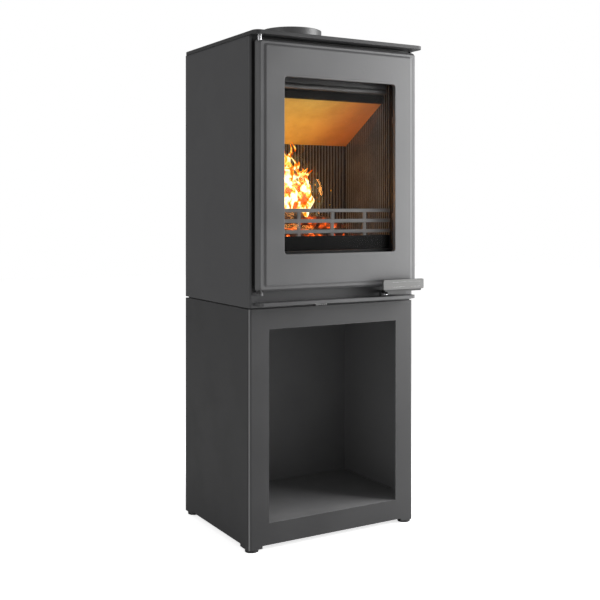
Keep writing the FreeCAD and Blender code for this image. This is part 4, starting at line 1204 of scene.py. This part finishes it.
@dataclass
class Firebox(Assembly):
    """Lined chamber behind the door, with its fence of bars.

    Attributes:
        bar_heights: lowest and highest Z of each bar, in millimetres like the fence's other sizes.
        bar_depth: thickness of a bar.
        post_x: where the posts stand.
        post_half: half a post's width.
        hook: thickness of the hooks behind the retainer.
        clearance: gap to the retainer.
        web: front and back of the strip above the nose, in metres.
    """

    bar_heights: tuple[tuple[float, float], ...] = ((704.4, 712.6), (728.5, 737.2), (752.9, 761.3))
    bar_depth: float = 5.0
    post_x: tuple[float, ...] = (-90.0, 0.0, 90.0)
    post_half: float = 4.5
    hook: float = 3.0
    clearance: float = 0.1
    web: tuple[float, float] = (-144.2 * MM, -141.2 * MM)

    def strip(self, surface: Surface, low: Sequence[float], high: Sequence[float], axis: int) -> None:
        """Adds a flat iron strip with softened edges, in millimetres.

        Args:
            surface: what it is added to.
            low: lowest corner.
            high: highest corner.
            axis: the axis it runs along.
        """
        first, second = [k for k in range(3) if k != axis]
        rim = [low[first], high[first], low[second], high[second]]
        profile = np.array([rim + [low[axis], 1.0], rim + [high[axis], 1.0]])
        surface.solid(outlines(profile, axis=axis, per_corner=4) * MM)

    def fence(self) -> None:
        """Three bars, the posts between them and the hooks behind the retainer, each a rounded strip."""
        low, high = (v / MM for v in corners("log_fence"))
        retainer_low, retainer_high = (v / MM for v in corners("retainer"))
        surface = Surface()
        for z0, z1 in self.bar_heights:
            self.strip(surface, (low[0], low[1], z0), (high[0], low[1] + self.bar_depth, z1), axis=0)
        foot = retainer_high[2] + self.clearance
        back, top = retainer_low[1] - self.clearance, self.bar_heights[-1][0] + 1.0
        for x in self.post_x:
            left, right = x - self.post_half, x + self.post_half
            self.strip(surface, (left, low[1] + 0.5, foot), (right, back, top), axis=2)
            self.strip(surface, (left, low[1] + 0.6, foot), (right, high[1], foot + self.hook), axis=1)
            self.strip(surface, (left, high[1] - self.hook, low[2]), (right, high[1], foot + self.hook), axis=2)
        surface.build("fence_bars", "stove", self.wardrobe[FENCE_IRON], "fence_grey", ["log_fence"])

    def nose(self) -> None:
        """Round nose under the air-wash strip, turned about its own line with softened ends, and the strip."""
        low, high = corners("air_wash_bar")
        r = (high[1] - low[1]) / 2
        profile = soften(np.array([[0.0, low[0]], [r, low[0]], [r, high[0]], [0.0, high[0]]]),
                         np.array([0, 1, 1, 0]) * MM, closed=False)
        surface = Surface()
        surface.solid(lathe(profile[1:-1], np.array([0.0, (low[1] + high[1]) / 2, low[2] + r]), 32, axis=0))
        web = np.array([[low[0], high[0], low[2] + r, high[2], y, 0.0] for y in self.web])
        surface.solid(outlines(web, axis=1, per_corner=2))
        surface.build("air_wash_nose", "stove", self.wardrobe[NOSE_STEEL], "firebox_steel", ["air_wash_bar"])

    def build(self) -> None:
        """Dresses the chamber and adds the bars."""
        self.dress(SOOTED, "firebox_shell", "smoke_deflector", "baffle_rail")
        self.dress(RETAINER_BLACK, "retainer")
        self.dress(LINING, "lining_left", "lining_right", "lining_rear", "hearth")
        self.dress(BAFFLE, "baffle")
        self.dress(GRATE_IRON, "grate", "ash_pan")
        self.dress(DULL_STEEL, "air_slider")
        self.fence()
        self.nose()


@dataclass
class Log:
    """One piece of burning wood.

    Attributes:
        name: name of the piece.
        start: one end of its middle line, in millimetres.
        end: the other end.
        radius: mean radius.
        seed: picks its shape.
    """

    name: str
    start: tuple[float, float, float]
    end: tuple[float, float, float]
    radius: float
    seed: int


@dataclass
class Fire(Assembly):
    """Burning logs, a bed of embers and the flames.

    Attributes:
        logs: the logs.
        bed_box: lowest and highest X, then Y, of the bed's rim, in millimetres.
        bed_floor: Z of the bed's rim, in millimetres.
        pieces: number of loose coals.
        tongues: number of flames.
        specks: number of sparks.
        lamps: place in millimetres, power and size of each lamp in the flames.
    """

    logs: tuple[Log, ...] = (
        Log("log_back", (-128, -8, 699), (122, 4, 702), 27, 3),
        Log("log_front", (-126, -88, 694), (38, -76, 697), 24, 8),
        Log("log_short", (-20, -104, 688), (72, -52, 702), 18, 13),
        Log("log_upper", (-104, -52, 742), (58, -30, 728), 20, 21),
    )
    bed_box: tuple[float, float, float, float] = (-150, 150, -132, 44)
    bed_floor: float = 664.3
    pieces: int = 46
    tongues: int = 15
    specks: int = 26
    lamps: tuple[tuple[tuple[float, float, float], float, float], ...] = (
        ((-45, -45, 800), 2.2, 0.05), ((-40, -40, 745), 0.6, 0.04))
    lamp_colour: Colour = (1.0, 0.42, 0.10)

    def log(self, log: Log) -> None:
        """Split and charred log, closed by rough fans at its ends.

        The radius at angle a is the least of the round bark and of two flat faces, d / cos(a - face), times a
        little less than 1 plus rough noise, drawn in by sharp cracks where another noise crosses zero.

        Args:
            log: where it lies, its radius and its seed.
        """
        steps, sides = 90, 72
        t = np.linspace(0, 1, steps)[:, None]
        angle = np.linspace(0, 2 * math.pi, sides, endpoint=False)[None]
        start, end = np.array(log.start) * MM, np.array(log.end) * MM
        random = np.random.default_rng(log.seed)
        face = random.uniform(0, 2 * math.pi)
        shape = np.ones((1, sides))
        for turn in (0.0, 2.1):
            facing = np.cos(angle - face - turn)
            shape = np.minimum(shape, np.where(facing > 0.1, 0.72 / np.maximum(facing, 0.1), 9.0))
        line = start + (end - start) * t
        line[:, 2:] += 0.004 * np.sin(3 * t + log.seed)
        base = tube(line, np.full(steps, log.radius * MM), sides)
        rough = rough_noise(base * [0.35, 1, 1], 90, log.seed, 4)
        crack = np.abs(value_noise(base, 70, log.seed + 9))
        ends = 1 - 0.16 * np.exp(-np.minimum(t, 1 - t) * 50)
        r = log.radius * MM * shape * ends * (0.93 + 0.10 * rough - 0.10 * np.exp(-crack * 14))
        surface = Surface()
        p = tube(line, r, sides)
        surface.grid(p, wrap_v=True)
        rows = np.linspace(0, 1, 7)[1:, None, None]
        for loop, flip in ((p[0], True), (p[-1], False)):
            fan = loop[None] + (loop.mean(0) - loop)[None] * rows * 0.97
            fan = fan + rough_noise(fan, 300, log.seed + 30, 3)[..., None] * 0.0012 * (end - start) * 8
            grid = np.concatenate([loop[None], fan])
            extra = surface.grid(grid[::-1] if flip else grid, wrap_v=True)
            surface.lid(extra[0] if flip else extra[-1], flip=flip)
        surface.build(log.name, "stove", self.wardrobe[EMBER_LOG], sharp=60)

    def bed(self) -> None:
        """Bed of ash and embers: a low mound, its height a rough noise that fades to the rim."""
        rings = 60
        share = np.linspace(0, 1, rings)[:, None]
        inset = share * 0.087
        rim = np.array([self.bed_box]) * MM + inset * [[1.7, -1.7, 1, -1]]
        radius = np.maximum(0.02 - inset * 0.2, 0.0005)
        stations = np.concatenate([rim, np.full((rings, 1), self.bed_floor * MM), radius], axis=1)
        p = outlines(stations, axis=2, per_corner=24)
        lumps = np.abs(rough_noise(p, 55, 5, 5))
        fade = np.minimum(share * 9, 1)
        p[..., 2] += fade * (0.004 + 0.016 * lumps) + 0.006 * np.sqrt(share)
        surface = Surface()
        surface.solid(p)
        surface.build("ember_bed", "stove", self.wardrobe[EMBER_BED], sharp=80)

    def coals(self) -> None:
        """Broken coals on the bed: small spheres drawn out and roughened by noise."""
        random = np.random.default_rng(44)
        surface = Surface()
        polar = np.linspace(0, math.pi, 13)[:, None]
        around = np.linspace(0, 2 * math.pi, 18, endpoint=False)[None]
        ball = np.stack([np.sin(polar) * np.cos(around), np.sin(polar) * np.sin(around),
                         np.cos(polar) + 0 * around], axis=-1)
        for k in range(self.pieces):
            centre = np.array([random.uniform(-128, 90), random.uniform(-122, 20), random.uniform(676, 688)]) * MM
            size = random.uniform(5, 12, 3) * MM * [1.2, 0.9, 0.7]
            p = ball * size * (0.8 + 0.35 * rough_noise(ball * 0.02 + k, 60, 70 + k % 7, 3))[..., None] + centre
            surface.solid(p[1:-1], flip=False)
        surface.build("coals", "stove", self.wardrobe[EMBER_COAL], sharp=50)

    def tongue(self, surface: Surface, foot: np.ndarray, height: float, width: float, seed: int) -> None:
        """One tongue of flame: a flattened tube on a swaying line, wide low down and drawn to a point.

        Args:
            surface: what it is added to.
            foot: middle of its foot.
            height: how high it reaches.
            width: half its width at the widest.
            seed: picks how it sways.
        """
        t = np.linspace(0, 1, 48)
        phase = np.random.default_rng(seed).uniform(0, 2 * math.pi, 3)
        sway = 0.012 * t * np.sin(7 * t + phase[0]) + 0.008 * t * np.sin(15 * t + phase[1])
        depth = 0.008 * t * np.sin(6 * t + phase[2])
        line = foot + np.stack([sway, depth, t * height], axis=-1)
        r = width * np.sqrt(np.clip(t * 3, 0, 1)) * (1 - t) ** 0.7 * (1 + 0.25 * np.sin(11 * t + phase[1])) + 0.0004
        p = lathe(np.stack([r, 0 * r], axis=-1), line, 20, squash=0.5)
        p[..., 0] += 0.006 * value_noise(p, 60, seed + 5)
        surface.solid(p)

    def flames(self) -> None:
        """Tongues of flame in three depths, the tall ones in the middle."""
        random = np.random.default_rng(12)
        surface = Surface()
        for k in range(self.tongues):
            at = random.uniform(-108, -8)
            middle = 1 - abs(at + 66) / 90
            foot = np.array([at, random.uniform(-70, -20), random.uniform(736, 752)]) * MM
            height = 0.07 + 0.11 * middle * random.uniform(0.55, 1.0)
            self.tongue(surface, foot, height, random.uniform(0.012, 0.020), 100 + k)
        surface.build("flames", "stove", self.wardrobe[FLAME], sharp=180)

    def sparks(self) -> None:
        """Sparks to the right of the flames: specks drawn out along their flight."""
        random = np.random.default_rng(9)
        surface = Surface()
        for _ in range(self.specks):
            at = np.array([random.uniform(-30, 62), random.uniform(-80, 0), random.uniform(770, 828)]) * MM
            size = random.uniform(0.5, 1.5) * MM
            profile = np.array([[0.15, -1.6], [0.9, -0.6], [0.9, 0.6], [0.15, 1.6]]) * size
            surface.solid(lathe(profile, at, 8))
        surface.build("sparks", "stove", self.wardrobe[SPARK], sharp=180)

    def light(self) -> None:
        """Warm lamps in the flames, which light the firebox's brick walls and the baffle."""
        for at, energy, size in self.lamps:
            lamp = bpy.data.lights.new("fire_glow", "POINT")
            lamp.energy, lamp.color, lamp.shadow_soft_size = energy, self.lamp_colour, size
            add_object("fire_glow", lamp, at=[v * MM for v in at])

    def build(self) -> None:
        """Adds the fire."""
        for log in self.logs:
            self.log(log)
        self.bed()
        self.coals()
        self.flames()
        self.sparks()
        self.light()


# ---------------------------------------------------------------- studio
@dataclass
class Studio:
    """Pale floor, plain light and the camera.

    Attributes:
        wardrobe: the materials.
        camera_at: the camera's place.
        camera_turn: how far it is turned left of straight on, in degrees.
        lens: focal length in millimetres.
        shift: upward shift of the picture, so that upright edges stay upright.
        surround: how bright the white surroundings are as a light.
        floor_half: half the width of the floor.
        aim: height on the stove that the softboxes face.
    """

    wardrobe: Wardrobe
    camera_at: tuple[float, float, float] = (-1.2086, -2.0525, 0.7647)
    camera_turn: float = -30.415
    lens: float = 58.21
    shift: float = -0.1548
    surround: float = 0.38
    floor_half: float = 8.0
    aim: float = 0.6

    def floor(self) -> None:
        """Wide pale floor."""
        mesh = bpy.data.meshes.new("floor")
        half = self.floor_half
        mesh.from_pydata([(-half, -half, 0), (half, -half, 0), (half, half, 0), (-half, half, 0)], [], [(0, 1, 2, 3)])
        mesh.materials.append(self.wardrobe[FLOOR])
        add_object("floor", mesh)

    def world(self) -> None:
        """Even white surroundings."""
        world = bpy.data.worlds.new("studio")
        world.use_nodes = True
        tree = world.node_tree
        tree.nodes.clear()
        w = Wiring(tree)
        seen = w.add("ShaderNodeLightPath").outputs["Is Camera Ray"]
        strength = w.math("ADD", w.math("MULTIPLY", seen, 1.0 - self.surround), self.surround)
        back = w.add("ShaderNodeBackground", Color=WHITE, Strength=strength)
        w.add("ShaderNodeOutputWorld", Surface=back.outputs[0])
        bpy.context.scene.world = world

    def softbox(self, name: str, azimuth: float, height: float, distance: float, size: tuple[float, float],
                energy: float) -> None:
        """Area light that faces the stove.

        Args:
            name: its name.
            azimuth: direction it stands in, in degrees from straight on to the right.
            height: height of its middle.
            distance: how far from the stove it stands.
            size: width and height.
            energy: its power.
        """
        lamp = bpy.data.lights.new(name, "AREA")
        lamp.shape = "RECTANGLE"
        lamp.size, lamp.size_y = size
        lamp.energy = energy
        a = math.radians(azimuth)
        tilt = math.atan2(height - self.aim, distance)
        add_object(name, lamp, at=(distance * math.sin(a), -distance * math.cos(a), height),
                            turn=(math.pi / 2 - tilt, 0, a))

    def camera(self) -> None:
        """Upright camera to the left of the door."""
        data = bpy.data.cameras.new("camera")
        data.lens = self.lens
        data.sensor_width = 36.0
        data.shift_y = self.shift
        bpy.context.scene.camera = add_object("camera", data, at=self.camera_at,
                                              turn=(math.pi / 2, 0, math.radians(self.camera_turn)))

    def build(self) -> None:
        """Adds the floor, the light and the camera."""
        bpy.context.scene.view_settings.view_transform = "Standard"
        self.floor()
        self.world()
        self.softbox("key", 58, 0.95, 1.65, (1.2, 1.7), 58)
        self.softbox("side", -80, 1.2, 2.4, (0.35, 2.2), 13)
        self.camera()


# ---------------------------------------------------------------- the stove
def main() -> None:
    """Builds the stove on its frame, part by part."""
    logging.basicConfig(level=logging.INFO, format="%(name)s: %(message)s")
    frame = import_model()
    wardrobe = Wardrobe()
    nodes = frame["nodes"]
    for kind in (LogStore, Casing, Flue, Door, Handle, Firebox, Fire):
        kind(nodes, wardrobe).build()
        LOG.info("%s is built", kind.__name__)
    Studio(wardrobe).build()


if __name__ == "__main__":
    main()
